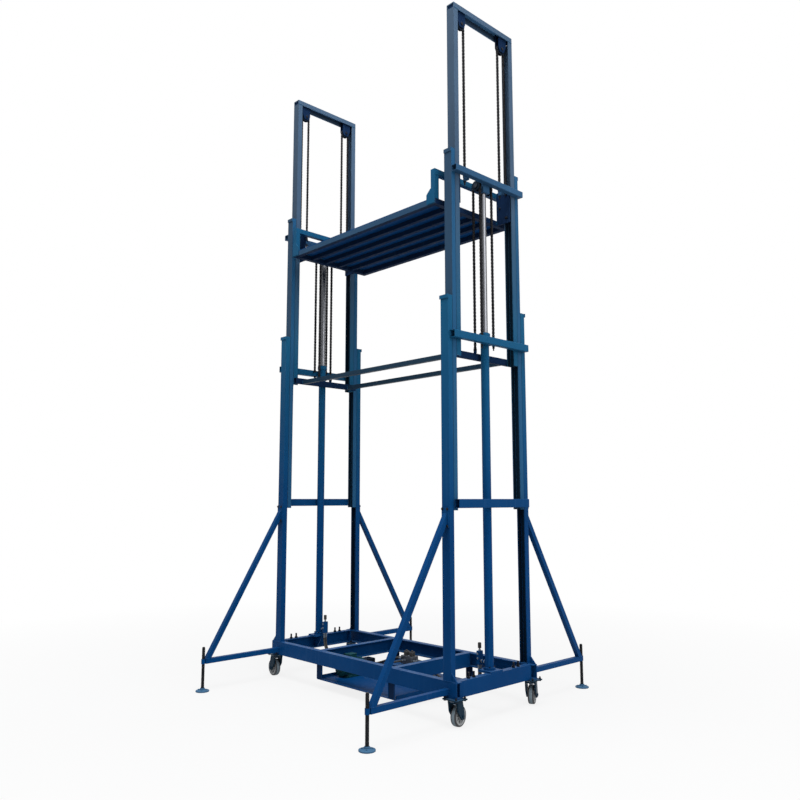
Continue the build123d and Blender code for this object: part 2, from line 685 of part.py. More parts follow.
# Tie bars that join the two inner frames
with BuildPart() as tie_bars:
    with Locations((0, -TIE_Y, TIE_Z), (0, TIE_Y, TIE_Z)):
        Box(2 * INNER_BEAM_X, TIE, TIE)

# Guide rollers of each stage, with their stub axles
with BuildPart() as mid_rollers:
    for z in MID_ROLLER_Z:
        with BuildSketch(Plane((POST_X, -MID_FACE, z), (1, 0, 0), (0, -1, 0))):
            Circle(STUB_R)
        extrude(amount=34)
        with BuildSketch(Plane((POST_X, -MID_FACE - 10, z), (1, 0, 0), (0, -1, 0))):
            Circle(ROLLER_R)
        extrude(amount=24)
    mirror(about=Plane.XZ)
    mirror(about=Plane.YZ)

with BuildPart() as inner_rollers:
    for z in INNER_ROLLER_Z:
        with BuildSketch(Plane((POST_X, -INNER_FACE, z), (1, 0, 0), (0, -1, 0))):
            Circle(STUB_R)
        extrude(amount=29)
        with BuildSketch(Plane((POST_X, -INNER_FACE - 7, z), (1, 0, 0), (0, -1, 0))):
            Circle(ROLLER_R)
        extrude(amount=22)
    mirror(about=Plane.XZ)
    mirror(about=Plane.YZ)

with BuildPart() as carriage_rollers:
    for z in CARRIAGE_ROLLER_Z:
        with BuildSketch(Plane((POST_X, -CARRIAGE_Y[1], z), (1, 0, 0), (0, -1, 0))):
            Circle(STUB_R)
        extrude(amount=37)
        with BuildSketch(Plane((POST_X, -CARRIAGE_Y[1] - 13, z), (1, 0, 0), (0, -1, 0))):
            Circle(ROLLER_R)
        extrude(amount=24)
    mirror(about=Plane.XZ)
    mirror(about=Plane.YZ)

# Top crossbeams that close each inner frame: the same open-ended channel on both masts, web uppermost,
# with its left leg drawn down between the posts
with BuildPart() as inner_top_crossbeams:
    for x in (-POST_X, POST_X):
        with Locations((x, 0, TOP_BEAM_Z - WALL / 2)):
            Box(POST_W, 2 * INNER_FACE, WALL)
        for side in (-1, 1):
            with Locations((x + side * (POST_W - WALL) / 2, 0, (INNER_Z[1] + TOP_BEAM_Z) / 2)):
                Box(WALL, 2 * INNER_FACE, TOP_BEAM_Z - INNER_Z[1])
        with Locations((x - (POST_W - WALL) / 2, 0, INNER_Z[1] - TOP_SKIRT / 2)):
            Box(WALL, 2 * (INNER_FACE - INNER_D), TOP_SKIRT)

# Brackets and pins of the top sheaves, hung from the top crossbeams
with BuildPart() as top_sheave_brackets:
    for side in (-1, 1):
        with BuildSketch(Plane.YZ.offset(POST_X + side * 16 - 3)):
            with BuildLine():
                Polyline(
                    (-TOP_SHEAVE[1] - 48, TOP_BEAM_Z - WALL),
                    (-TOP_SHEAVE[1] + 38, TOP_BEAM_Z - WALL),
                    (-TOP_SHEAVE[1] + 38, TOP_SHEAVE[2] + 6),
                    (-TOP_SHEAVE[1] + 20, TOP_SHEAVE[2] - 26),
                    (-TOP_SHEAVE[1] - 22, TOP_SHEAVE[2] - 26),
                    (-TOP_SHEAVE[1] - 48, TOP_SHEAVE[2] + 30),
                    close=True,
                )
            make_face()
        extrude(amount=6)
    with BuildSketch(Plane.YZ.offset(POST_X - 22)):
        with Locations((-TOP_SHEAVE[1], TOP_SHEAVE[2])):
            Circle(PIN_R)
    extrude(amount=44)
    mirror(about=Plane.XZ)
    mirror(about=Plane.YZ)


def groove(pitch_r, bore_r):
    """Half section of a chain sheave: radius along y, axle along x."""
    flange_r = pitch_r + FLANGE_UP
    root_r = pitch_r - CHAIN_T / 2 - 0.5
    with BuildSketch() as section:
        with BuildLine():
            Polyline(
                (-SHEAVE_W / 2, bore_r),
                (SHEAVE_W / 2, bore_r),
                (SHEAVE_W / 2, flange_r),
                (GROOVE_W / 2, flange_r),
                (GROOVE_W / 2, root_r),
                (-GROOVE_W / 2, root_r),
                (-GROOVE_W / 2, flange_r),
                (-SHEAVE_W / 2, flange_r),
                close=True,
            )
        make_face()
    return section.sketch


# Lift sheaves on each rod head and top sheaves at the tips of the inner posts
with BuildPart() as right_lift_sheaves:
    for side in (-1, 1):
        here = (LIFT_SHEAVE[0], side * LIFT_SHEAVE[1], LIFT_SHEAVE[2])
        with BuildSketch(Plane(here, (0, 1, 0), (1, 0, 0))):
            add(groove(LIFT_PITCH_R, AXLE_R + FIT))
        revolve(axis=Axis(here, (0, 1, 0)))

with BuildPart() as left_lift_sheaves:
    mirror(right_lift_sheaves.part, about=Plane.YZ)

with BuildPart() as front_top_sheaves:
    for side in (-1, 1):
        here = (side * TOP_SHEAVE[0], -TOP_SHEAVE[1], TOP_SHEAVE[2])
        with BuildSketch(Plane(here, (1, 0, 0), (0, -1, 0))):
            add(groove(TOP_PITCH_R, PIN_R + FIT))
        revolve(axis=Axis(here, (1, 0, 0)))

with BuildPart() as back_top_sheaves:
    mirror(front_top_sheaves.part, about=Plane.XZ)

# Platform: deck plate on a ribbed frame, with an upright frame at each end
with BuildPart() as deck_plate:
    with Locations((0, 0, sum(DECK_Z) / 2)):
        Box(2 * DECK_HALF_X, 2 * DECK_HALF_Y, DECK_Z[1] - DECK_Z[0])

FRAME_H = DECK_Z[0] - FRAME_Z
FRAME_MID = FRAME_Z + FRAME_H / 2
RIB_MID = FRAME_MID + 2
with BuildPart() as deck_frame:
    for side in (-1, 1):
        with Locations((0, side * (DECK_HALF_Y - EDGE_W / 2), FRAME_MID)):
            Box(2 * FRAME_HALF_X, EDGE_W, FRAME_H)
        with Locations((side * (FRAME_HALF_X + END_BAR / 2), 0, FRAME_MID)):
            Box(END_BAR, 2 * DECK_HALF_Y, FRAME_H)
        for y in RIB_Y:
            with Locations((0, side * y, RIB_MID)):
                Box(2 * FRAME_HALF_X, RIB_W, FRAME_H - 4)
    for side in (-1, 1):
        with Locations((0, side * (DECK_HALF_Y - EDGE_W / 2), FRAME_MID + FRAME_T)):
            Box(2 * DECK_HALF_X - 8, EDGE_W - 2 * FRAME_T, FRAME_H, mode=Mode.SUBTRACT)
        for y in RIB_Y:
            with Locations((0, side * y, RIB_MID + FRAME_T)):
                Box(2 * DECK_HALF_X - 8, RIB_W - 2 * FRAME_T, FRAME_H - 4, mode=Mode.SUBTRACT)

with BuildPart() as end_uprights:
    upright_x = FRAME_HALF_X + END_BAR / 2
    with Locations((upright_x, END_BAR / 2 - DECK_HALF_Y, (DECK_Z[0] + END_TOP_Z[0]) / 2)):
        Box(END_BAR, END_BAR, END_TOP_Z[0] - DECK_Z[0])
    with BuildSketch(Plane.XZ.offset(DECK_HALF_Y)):
        with BuildLine():
            Polyline(
                (FRAME_HALF_X - 38, FRAME_Z + 4),
                (FRAME_HALF_X + END_BAR - 3, FRAME_Z + 4),
                (FRAME_HALF_X + END_BAR - 3, FRAME_Z + 112),
                (FRAME_HALF_X, FRAME_Z + 112),
                (FRAME_HALF_X - 38, FRAME_Z + 74),
                close=True,
            )
        make_face()
    extrude(amount=6)
    mirror(about=Plane.XZ)
    mirror(about=Plane.YZ)

with BuildPart() as end_top_bars:
    with Locations((upright_x, 0, sum(END_TOP_Z) / 2), (-upright_x, 0, sum(END_TOP_Z) / 2)):
        Box(END_BAR, 2 * DECK_HALF_Y, END_TOP_Z[1] - END_TOP_Z[0])

# Carriage plates that carry the rollers, with anchors for the carriage chains
with BuildPart() as carriage_plates:
    with Locations((sum(CARRIAGE_X) / 2, -sum(CARRIAGE_Y) / 2, (FRAME_Z + END_TOP_Z[1]) / 2)):
        Box(CARRIAGE_X[1] - CARRIAGE_X[0], CARRIAGE_Y[1] - CARRIAGE_Y[0], END_TOP_Z[1] - FRAME_Z)
    with Locations((TOP_SHEAVE[0], 7 - CARRIAGE_Y[0], CARRIAGE_ANCHOR_Z - 15)):
        Box(CHAIN_W, 14, 30)
    mirror(about=Plane.XZ)
    mirror(about=Plane.YZ)


def hairpin(pitch_r, x_high, z_top, z_fixed, z_free):
    """Outline of a chain led over a sheave: one strand on each side of the centre."""
    outer = pitch_r + CHAIN_T / 2
    inner = pitch_r - CHAIN_T / 2
    with BuildSketch() as section:
        with BuildLine():
            Line((x_high + inner, z_fixed), (x_high + outer, z_fixed))
            Line((x_high + outer, z_fixed), (x_high + outer, z_top))
            ThreePointArc((x_high + outer, z_top), (x_high, z_top + outer), (x_high - outer, z_top))
            Line((x_high - outer, z_top), (x_high - outer, z_free))
            Line((x_high - outer, z_free), (x_high - inner, z_free))
            Line((x_high - inner, z_free), (x_high - inner, z_top))
            ThreePointArc((x_high - inner, z_top), (x_high, z_top + inner), (x_high + inner, z_top))
            Line((x_high + inner, z_top), (x_high + inner, z_fixed))
        make_face()
    return section.sketch


# Lift chains over the lift sheaves and carriage chains over the top sheaves
with BuildPart() as lift_chains:
    for side in (-1, 1):
        with BuildSketch(Plane.XZ.offset(-side * LIFT_SHEAVE[1] - CHAIN_W / 2)):
            add(hairpin(LIFT_PITCH_R, LIFT_SHEAVE[0], LIFT_SHEAVE[2], LIFT_ANCHOR_Z, INNER_ANCHOR_Z))
        extrude(amount=CHAIN_W)
    mirror(about=Plane.YZ)

with BuildPart() as carriage_chains:
    with BuildSketch(Plane.YZ.offset(TOP_SHEAVE[0] - CHAIN_W / 2)):
        add(hairpin(TOP_PITCH_R, -TOP_SHEAVE[1], TOP_SHEAVE[2], MID_ANCHOR_Z, CARRIAGE_ANCHOR_Z))
    extrude(amount=CHAIN_W)
    mirror(about=Plane.XZ)
    mirror(about=Plane.YZ)

PIECES = {
    "front_rail": front_rail,
    "back_rail": back_rail,
    "left_end_beam": left_end_beam,
    "right_end_beam": right_end_beam,
    "cross_members": cross_members,
    "outer_posts_left": outer_posts_left,
    "outer_posts_right": outer_posts_right,
    "outer_crossbeams": outer_crossbeams,
    "outrigger_beams": outrigger_beams,
    "outrigger_braces": outrigger_braces,
    "lift_cylinders": lift_cylinders,
    "power_tray": power_tray,
    "tray_straps": tray_straps,
    "oil_tank": oil_tank,
    "pump_motor": pump_motor,
    "gear_pump": gear_pump,
    "manifold": manifold,
    "throttle_valves": throttle_valves,
    "valve_knobs": valve_knobs,
    "hydraulic_hoses": hydraulic_hoses,
    "caster_plates": caster_plates,
    "frame_bolts": frame_bolts,
    "fork_front_right": fork_front_right,
    "fork_back_right": fork_back_right,
    "fork_front_left": fork_front_left,
    "fork_back_left": fork_back_left,
    "wheel_front_right": wheel_front_right,
    "wheel_back_right": wheel_back_right,
    "wheel_front_left": wheel_front_left,
    "wheel_back_left": wheel_back_left,
    "jack_front_right": jack_front_right,
    "jack_back_right": jack_back_right,
    "jack_front_left": jack_front_left,
    "jack_back_left": jack_back_left,
    "mid_posts_left": mid_posts_left,
    "mid_posts_right": mid_posts_right,
    "mid_top_crossbeams": mid_top_crossbeams,
    "mid_bottom_crossbeams": mid_bottom_crossbeams,
    "plunger_rods": plunger_rods,
    "sheave_axles": sheave_axles,
    "mid_rollers": mid_rollers,
    "inner_posts_left": inner_posts_left,
    "inner_posts_right": inner_posts_right,
    "inner_crossbeams": inner_crossbeams,
    "inner_top_crossbeams": inner_top_crossbeams,
    "tie_bars": tie_bars,
    "inner_rollers": inner_rollers,
    "top_sheave_brackets": top_sheave_brackets,
    "left_lift_sheaves": left_lift_sheaves,
    "right_lift_sheaves": right_lift_sheaves,
    "front_top_sheaves": front_top_sheaves,
    "back_top_sheaves": back_top_sheaves,
    "deck_plate": deck_plate,
    "deck_frame": deck_frame,
    "end_uprights": end_uprights,
    "end_top_bars": end_top_bars,
    "carriage_plates": carriage_plates,
    "carriage_rollers": carriage_rollers,
    "lift_chains": lift_chains,
    "carriage_chains": carriage_chains,
}

os.makedirs("parts", exist_ok=True)
for name, piece in PIECES.items():
    piece.part.label = name
    export_step(piece.part, f"parts/{name}.step")
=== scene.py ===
import math

import bmesh
import bpy
from bpy.props import FloatProperty, FloatVectorProperty, IntProperty, PointerProperty
from mathutils import Matrix, Vector


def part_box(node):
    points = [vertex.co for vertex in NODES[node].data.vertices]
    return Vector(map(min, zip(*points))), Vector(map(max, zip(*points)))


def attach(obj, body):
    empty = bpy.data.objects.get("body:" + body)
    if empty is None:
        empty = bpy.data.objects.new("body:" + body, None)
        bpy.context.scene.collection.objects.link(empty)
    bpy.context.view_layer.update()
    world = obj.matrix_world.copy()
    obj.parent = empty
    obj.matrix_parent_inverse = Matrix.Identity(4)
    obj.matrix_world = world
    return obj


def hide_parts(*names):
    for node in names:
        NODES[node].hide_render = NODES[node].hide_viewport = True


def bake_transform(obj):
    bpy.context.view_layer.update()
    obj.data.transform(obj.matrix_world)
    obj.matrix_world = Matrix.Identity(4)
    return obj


bl_info = {
    "name": "Cargo lift dressing",
    "version": (1, 0, 0),
    "blender": (4, 5, 0),
    "location": "3D View > Sidebar > Cargo lift",
    "description": "Dresses the twin-mast cargo lift with chains, wheels, screws, welds and paint",
    "category": "Object",
}

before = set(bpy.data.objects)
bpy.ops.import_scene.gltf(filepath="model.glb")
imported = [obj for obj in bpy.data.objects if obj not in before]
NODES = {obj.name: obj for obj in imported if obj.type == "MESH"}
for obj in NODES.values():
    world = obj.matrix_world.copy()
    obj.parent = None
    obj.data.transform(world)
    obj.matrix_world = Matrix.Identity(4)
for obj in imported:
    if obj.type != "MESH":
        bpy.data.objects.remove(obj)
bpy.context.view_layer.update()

SIDES = (-1, 1)
CORNERS = [(sx, sy) for sx in SIDES for sy in SIDES]
CORNER_NAMES = {(-1, -1): "front_left", (1, -1): "front_right", (-1, 1): "back_left", (1, 1): "back_right"}
MAST_X = 0.934
POST_HALF = 0.034
POST_NEAR = MAST_X - POST_HALF
POST_FAR = MAST_X + POST_HALF
WALL = 0.006
RAIL_TOP = 0.278
RAIL_LOW = 0.178
OUTER_FACE = 0.414
DECK_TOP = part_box("deck_plate")[1].z
TRAY_TOP = 0.072
JACK_Y = 1.080
CASTER_AT = (0.978, 0.390)
CASTER_TURN = {(1, -1): 100, (1, 1): 117, (-1, -1): 175, (-1, 1): 130}
CASTER_TRAIL = 0.038
WHEEL_R = 0.065
WHEEL_BORE_R = 0.0062
FORK_CROWN_LOW = 0.1494
LIFT_SHEAVE = (0.930, 0.062, 3.652)
LIFT_PITCH_R = 0.032
LIFT_FIXED_X = LIFT_SHEAVE[0] + LIFT_PITCH_R
LIFT_FREE_X = LIFT_SHEAVE[0] - LIFT_PITCH_R
TOP_SHEAVE = (0.934, 0.228, 4.822)
TOP_PITCH_R = 0.035
TOP_FIXED_Y = TOP_SHEAVE[1] - TOP_PITCH_R
TOP_FREE_Y = TOP_SHEAVE[1] + TOP_PITCH_R
LIFT_ANCHOR_Z = 2.520
INNER_ANCHOR_Z = 2.452
MID_ANCHOR_Z = 3.680
CARRIAGE_ANCHOR_Z = 3.720
STRAND_PARTS = 6
MOTOR_X = -0.325
MOTOR_Z = 0.140
MOTOR_FOOT_Y = -0.160
VALVE_X = 0.850
VALVE_TOP = 0.400
MANIFOLD_Y = 0.160
MANIFOLD_PORT_Z = 0.195
GLAND_TOP = 2.580
ALONG_X = (1, 0, 0)
ALONG_Y = (0, 1, 0)
FORWARD = (0, -1, 0)
UP = (0, 0, 1)
DOWN = (0, 0, -1)


# Sizes and colours that a user would change


class LiftFinish(bpy.types.PropertyGroup):
    """Colours and wear of the lift's surfaces"""

    base_blue: FloatVectorProperty(
        name="Base blue",
        description="Paint of the base and the foot of the outer stage",
        subtype="COLOR",
        default=(0.0022, 0.043, 0.150),
    )
    # Paler than the base blue: partly dust, partly a painted reflection of the sky.
    upper_blue: FloatVectorProperty(
        name="Upper blue",
        description="Paint at the top of the outer stage",
        subtype="COLOR",
        default=(0.010, 0.085, 0.175),
    )
    middle_blue: FloatVectorProperty(
        name="Middle blue",
        description="Paint of the middle stage",
        subtype="COLOR",
        default=(0.018, 0.084, 0.180),
    )
    # Paler, greyer top of the inner stage: partly bleached paint, partly a painted reflection of the sky.
    inner_blue: FloatVectorProperty(
        name="Inner blue",
        description="Bleached paint of the inner stage",
        subtype="COLOR",
        default=(0.054, 0.092, 0.148),
    )
    beam_blue: FloatVectorProperty(
        name="Beam blue",
        description="Paint of the middle stage's top beams",
        subtype="COLOR",
        default=(0.027, 0.080, 0.160),
    )
    bar_blue: FloatVectorProperty(
        name="Bar blue",
        description="Paint of the bars between the masts",
        subtype="COLOR",
        default=(0.0150, 0.036, 0.062),
    )
    # Painted bounce light: a brighter blue that faces looking down take on the inner stage, under the top
    # beams.
    painted_underside_light: FloatVectorProperty(
        name="Under blue",
        description="Unbleached paint under the top beams",
        subtype="COLOR",
        default=(0.060, 0.160, 0.300),
    )
    # Painted shade: a dark copy of the blue for parts that lie in shade, under the deck, the carriages and
    # the brackets.
    shade_navy: FloatVectorProperty(
        name="Navy",
        description="Paint under the deck, of carriages and brackets",
        subtype="COLOR",
        default=(0.0062, 0.0185, 0.053),
    )
    # Painted light: the lit colour of the deck frame's outer faces, beside its dark painted shade.
    lit_deck_rim: FloatVectorProperty(
        name="Deck rim",
        description="Bleached edges of the platform",
        subtype="COLOR",
        default=(0.034, 0.080, 0.145),
    )
    fork: FloatVectorProperty(
        name="Fork", description="Caster forks", subtype="COLOR", default=(0.006, 0.022, 0.040)
    )
    motor_green: FloatVectorProperty(
        name="Motor green",
        description="Paint of the pump motor",
        subtype="COLOR",
        default=(0.006, 0.045, 0.052),
    )
    foot_blue: FloatVectorProperty(
        name="Foot blue",
        description="Paint of the jack feet",
        subtype="COLOR",
        default=(0.045, 0.115, 0.205),
    )
    dust: FloatVectorProperty(
        name="Dust",
        description="Dust that settles on level faces",
        subtype="COLOR",
        default=(0.085, 0.18, 0.33),
    )
    grease: FloatVectorProperty(
        name="Grease",
        description="Film on the webs that the rollers run in",
        subtype="COLOR",
        default=(0.030, 0.045, 0.065),
    )
    # Painted shade with sooty grime: the dark colour for the faces inside the posts' channels.
    hollow_soot_and_shade: FloatVectorProperty(
        name="Soot",
        description="Dirt in the hollow of the posts",
        subtype="COLOR",
        default=(0.004, 0.010, 0.018),
    )
    dust_share: FloatProperty(
        name="Dust share",
        description="How much of the paint dust covers",
        subtype="FACTOR",
        default=0.35,
        min=0,
        max=1,
    )
    wear: FloatProperty(
        name="Wear",
        description="Bare metal along the edges",
        subtype="FACTOR",
        default=0.25,
        min=0,
        max=1,
    )
    tyre: FloatVectorProperty(
        name="Tyre", description="Caster tyres", subtype="COLOR", default=(0.010, 0.014, 0.017)
    )
    tread: FloatVectorProperty(
        name="Tread",
        description="Dusty running band of the tyres",
        subtype="COLOR",
        default=(0.170, 0.215, 0.245),
    )
    hub: FloatVectorProperty(
        name="Hub", description="Caster wheel centres", subtype="COLOR", default=(0.30, 0.31, 0.315)
    )


class LiftDetail(bpy.types.PropertyGroup):
    """Sizes of the lift's small forms"""

    chain_pitch: FloatProperty(
        name="Chain pitch",
        description="From pin to pin of a leaf chain",
        unit="LENGTH",
        default=0.0127,
        min=0.005,
    )
    plate_height: FloatProperty(
        name="Plate height",
        description="Height of a chain plate",
        unit="LENGTH",
        default=0.0118,
        min=0.004,
    )
    plate_thick: FloatProperty(
        name="Plate thickness",
        description="Thickness of a chain plate",
        unit="LENGTH",
        default=0.0026,
        min=0.001,
    )
    thread_pitch: FloatProperty(
        name="Thread pitch",
        description="Pitch of the jack screws",
        unit="LENGTH",
        default=0.005,
        min=0.002,
    )
    weld_size: FloatProperty(
        name="Weld size", description="Radius of a weld bead", unit="LENGTH", default=0.0028, min=0.001
    )
    tread_pitch: FloatProperty(
        name="Tread pitch",
        description="Spacing of the deck's raised bars",
        unit="LENGTH",
        default=0.034,
        min=0.01,
    )
    tread_height: FloatProperty(
        name="Tread height",
        description="Height of the deck's raised bars",
        unit="LENGTH",
        default=0.0014,
        min=0.0005,
    )
    fin_count: IntProperty(
        name="Motor fins", description="Cooling fins round the motor", default=28, min=8
    )
    wheel_ribs: IntProperty(
        name="Wheel ribs", description="Ribs of a caster wheel's centre", default=8, min=3
    )


class LiftStage(bpy.types.PropertyGroup):
    """Camera and light"""

    camera_at: FloatVectorProperty(
        name="Camera place",
        description="Where the camera stands",
        subtype="TRANSLATION",
        default=(4.3893, -4.0852, 1.4213),
    )
    camera_yaw: FloatProperty(
        name="Camera yaw",
        description="Turn about the vertical",
        subtype="ANGLE",
        default=math.radians(46.642),
    )
    camera_pitch: FloatProperty(
        name="Camera pitch",
        description="Tilt above the horizon",
        subtype="ANGLE",
        default=math.radians(7.337),
    )
    camera_lens: FloatProperty(
        name="Camera lens", description="Focal length in millimetres", default=34.518, min=10
    )
    sky_strength: FloatProperty(name="Sky strength", description="Light from all round", default=0.55, min=0)
    key_power: FloatProperty(name="Key power", description="Overhead lamp", unit="POWER", default=900, min=0)
    side_power: FloatProperty(
        name="Side power", description="Lamp on the mast's outer side", unit="POWER", default=260, min=0
    )


# Mesh building


def lathe(bm, profile, at, axis, steps=32):
    """Turns a profile of (radius, distance along the axis) about an axis through a point."""
    turn = Vector(axis).to_track_quat("Z", "Y").to_matrix()
    rings = []
    for radius, along in profile:
        count = steps if radius > 1e-6 else 1
        ring = []
        for k in range(count):
            a = 2 * math.pi * k / steps
            spoke = Vector((radius * math.cos(a), radius * math.sin(a), along))
            ring.append(bm.verts.new(Vector(at) + turn @ spoke))
        rings.append(ring)
    for low, high in zip(rings, rings[1:]):
        for k in range(steps):
            n = k + 1
            corners = (low[k % len(low)], low[n % len(low)], high[n % len(high)], high[k % len(high)])
            face = list(dict.fromkeys(corners))
            if len(face) > 2:
                bm.faces.new(face)


def block(bm, size, at, rounding=0.0015, turn=None):
    """A box with softened edges."""
    made = bmesh.ops.create_cube(bm, size=1.0, matrix=Matrix.LocRotScale(Vector(at), turn, Vector(size)))
    edges = list({edge for vert in made["verts"] for edge in vert.link_edges})
    bmesh.ops.bevel(bm, geom=edges, offset=rounding, segments=2, profile=0.5, affect="EDGES")


def bead(bm, start, end, size):
    """A weld bead: a thin rippled roll from one point to the other."""
    start, end = Vector(start), Vector(end)
    run = end - start
    count = max(4, int(run.length / (size * 1.1)))
    profile = [(0.0, 0.0)]
    for k in range(count + 1):
        swell = 1.0 if k % 2 else 0.78
        profile.append((size * swell, run.length * k / count))
    profile.append((0.0, run.length))
    lathe(bm, profile, start, run, steps=8)


def hexagon(bm, at, axis, across, height):
    """A hexagon head or nut with chamfered corners, standing on a point along an axis."""
    r = across / math.sqrt(3)
    profile = [(0, 0), (r * 0.95, 0), (r, height * 0.12), (r, height * 0.78), (r * 0.86, height), (0, height)]
    lathe(bm, profile, at, axis, steps=6)


def bolt(bm, at, axis, across):
    """A hexagon bolt head on its washer."""
    direction = Vector(axis).normalized()
    washer_r, washer_top = across * 0.68, across * 0.1
    lathe(bm, [(0, 0), (washer_r, 0), (washer_r, washer_top), (0, washer_top)], at, axis, steps=24)
    hexagon(bm, Vector(at) + direction * washer_top, axis, across, across * 0.55)


def stud(bm, at, axis, radius, length, pitch=0.0015):
    """A threaded stud end."""
    profile = [(0, 0)]
    turns = int(length / pitch)
    for k in range(turns):
        profile.append((radius * 0.86, pitch * k))
        profile.append((radius, pitch * (k + 0.5)))
    profile.append((radius * 0.8, pitch * turns))
    profile.append((0, pitch * turns))
    lathe(bm, profile, at, axis, steps=16)


def mirrored(half):
    """A closed profile: a half, its mirror image along the axis and the first point again."""
    return half + [(radius, -along) for radius, along in reversed(half)] + half[:1]


def fluted(bm, profile, at, lobes, depth, steps=64):
    """An upright turned form whose rim has finger flutes."""
    rings = []
    for radius, along, share in profile:
        ring = []
        for k in range(steps):
            a = 2 * math.pi * k / steps
            r = radius * (1 - depth * share * (0.5 + 0.5 * math.cos(lobes * a)))
            ring.append(bm.verts.new(Vector(at) + Vector((r * math.cos(a), r * math.sin(a), along))))
        rings.append(ring)
    for low, high in zip(rings, rings[1:]):
        for k in range(steps):
            bm.faces.new((low[k], low[(k + 1) % steps], high[(k + 1) % steps], high[k]))
    bm.faces.new(list(reversed(rings[0])))
    bm.faces.new(rings[-1])


def piece(name, bm, material, body, smooth=35.0):
    """Makes an object from a mesh and lets it ride on a body, when one is given."""
    bmesh.ops.remove_doubles(bm, verts=bm.verts, dist=1e-6)
    bmesh.ops.recalc_face_normals(bm, faces=bm.faces)
    mesh = bpy.data.meshes.new(name)
    bm.to_mesh(mesh)
    bm.free()
    mesh.shade_smooth()
    mesh.set_sharp_from_angle(angle=math.radians(smooth))
    mesh.materials.append(material)
    made = bpy.data.objects.new(name, mesh)
    bpy.context.scene.collection.objects.link(made)
    if body:
        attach(made, body)
    return made


# Materials

FACING = (0.70, 0.95)
AWAY = (-0.70, -0.95)
# The painted shade and sooty grime in the posts' hollows fade out between these heights.
HOLLOW_SHADE_HEIGHTS = (3.4, 3.9)
HOLLOW_SHADE_SHARES = (0.92, 0.2)
SHADE_TINT = (0.70, 0.74, 0.78, 1.0)
BARE_EDGE = (0.20, 0.25, 0.31, 1.0)
ENAMEL_SHEEN = (0.12, 0.50, 1.0, 1.0)
# Distance from the middle beyond which the deck frame takes its painted lit colour.
LIT_RIM_Y = 0.398


def put(tree, kind, sockets=None, **settings):
    """Adds a shader node, sets its options and fills or links its sockets."""
    made = tree.nodes.new(kind)
    for key, value in settings.items():
        setattr(made, key, value)
    for key, value in (sockets or {}).items():
        if isinstance(value, bpy.types.NodeSocket):
            tree.links.new(value, made.inputs[key])
        else:
            made.inputs[key].default_value = value
    return made


def blank(name):
    """A new material with an empty node tree, and its object coordinates."""
    material = bpy.data.materials.new(name)
    material.use_nodes = True
    tree = material.node_tree
    tree.nodes.clear()
    coords = put(tree, "ShaderNodeTexCoord").outputs["Object"]
    return material, tree, coords


def noise(tree, coords, scale, detail=3.0, rough=0.5):
    """A cloud of values from 0 to 1."""
    return put(
        tree, "ShaderNodeTexNoise", {"Vector": coords, "Scale": scale, "Detail": detail, "Roughness": rough}
    ).outputs["Fac"]


def spread(tree, value, low, high, to_low=0.0, to_high=1.0):
    """Maps a range of a value onto another range, held at its ends."""
    sockets = {"Value": value, "From Min": low, "From Max": high, "To Min": to_low, "To Max": to_high}
    return put(tree, "ShaderNodeMapRange", sockets, clamp=True).outputs["Result"]


def math_of(tree, operation, *values):
    """The result of one sum on sockets or numbers."""
    return put(tree, "ShaderNodeMath", dict(enumerate(values)), operation=operation).outputs[0]


def times(tree, a, b):
    """Two values multiplied."""
    return math_of(tree, "MULTIPLY", a, b)


def mixed(tree, share, a, b):
    """Colour a with a share of colour b over it."""
    return put(tree, "ShaderNodeMix", {0: share, 6: a, 7: b}, data_type="RGBA").outputs[2]


def rgba(colour):
    """A colour with full cover."""
    return (colour[0], colour[1], colour[2], 1.0)


def finish_off(tree, shader):
    """Leads a shader to the material's surface."""
    put(tree, "ShaderNodeOutputMaterial", {"Surface": shader.outputs[0]})


def edges_of(tree, radius):
    """A mask of the sharp edges, and the normal with those edges rounded."""
    rounded = put(tree, "ShaderNodeBevel", {"Radius": radius}, samples=4).outputs["Normal"]
    flat = put(tree, "ShaderNodeNewGeometry").outputs["Normal"]
    dot = put(tree, "ShaderNodeVectorMath", {0: rounded, 1: flat}, operation="DOT_PRODUCT").outputs["Value"]
    return spread(tree, dot, 0.98, 0.86), rounded


def hollow_of(tree, place, faces):
    """How far a face points outward along Y, and a mask of the faces inside a post's channel, which get
    painted shade.
    """
    outward = times(tree, faces["Y"], math_of(tree, "SIGN", place["Y"]))
    beyond = math_of(tree, "SUBTRACT", math_of(tree, "ABSOLUTE", place["X"]), MAST_X)
    sideways = times(tree, faces["X"], math_of(tree, "SIGN", place["X"]))
    flange = times(tree, sideways, math_of(tree, "SIGN", beyond))
    clear, blur = POST_HALF - WALL, 0.0005
    between = spread(tree, math_of(tree, "ABSOLUTE", beyond), clear + blur, clear - blur)
    web = times(tree, spread(tree, outward, *AWAY), between)
    inside = math_of(tree, "MAXIMUM", web, spread(tree, flange, *AWAY))
    return outward, times(tree, inside, spread(tree, place["Z"], *HOLLOW_SHADE_HEIGHTS, *HOLLOW_SHADE_SHARES))


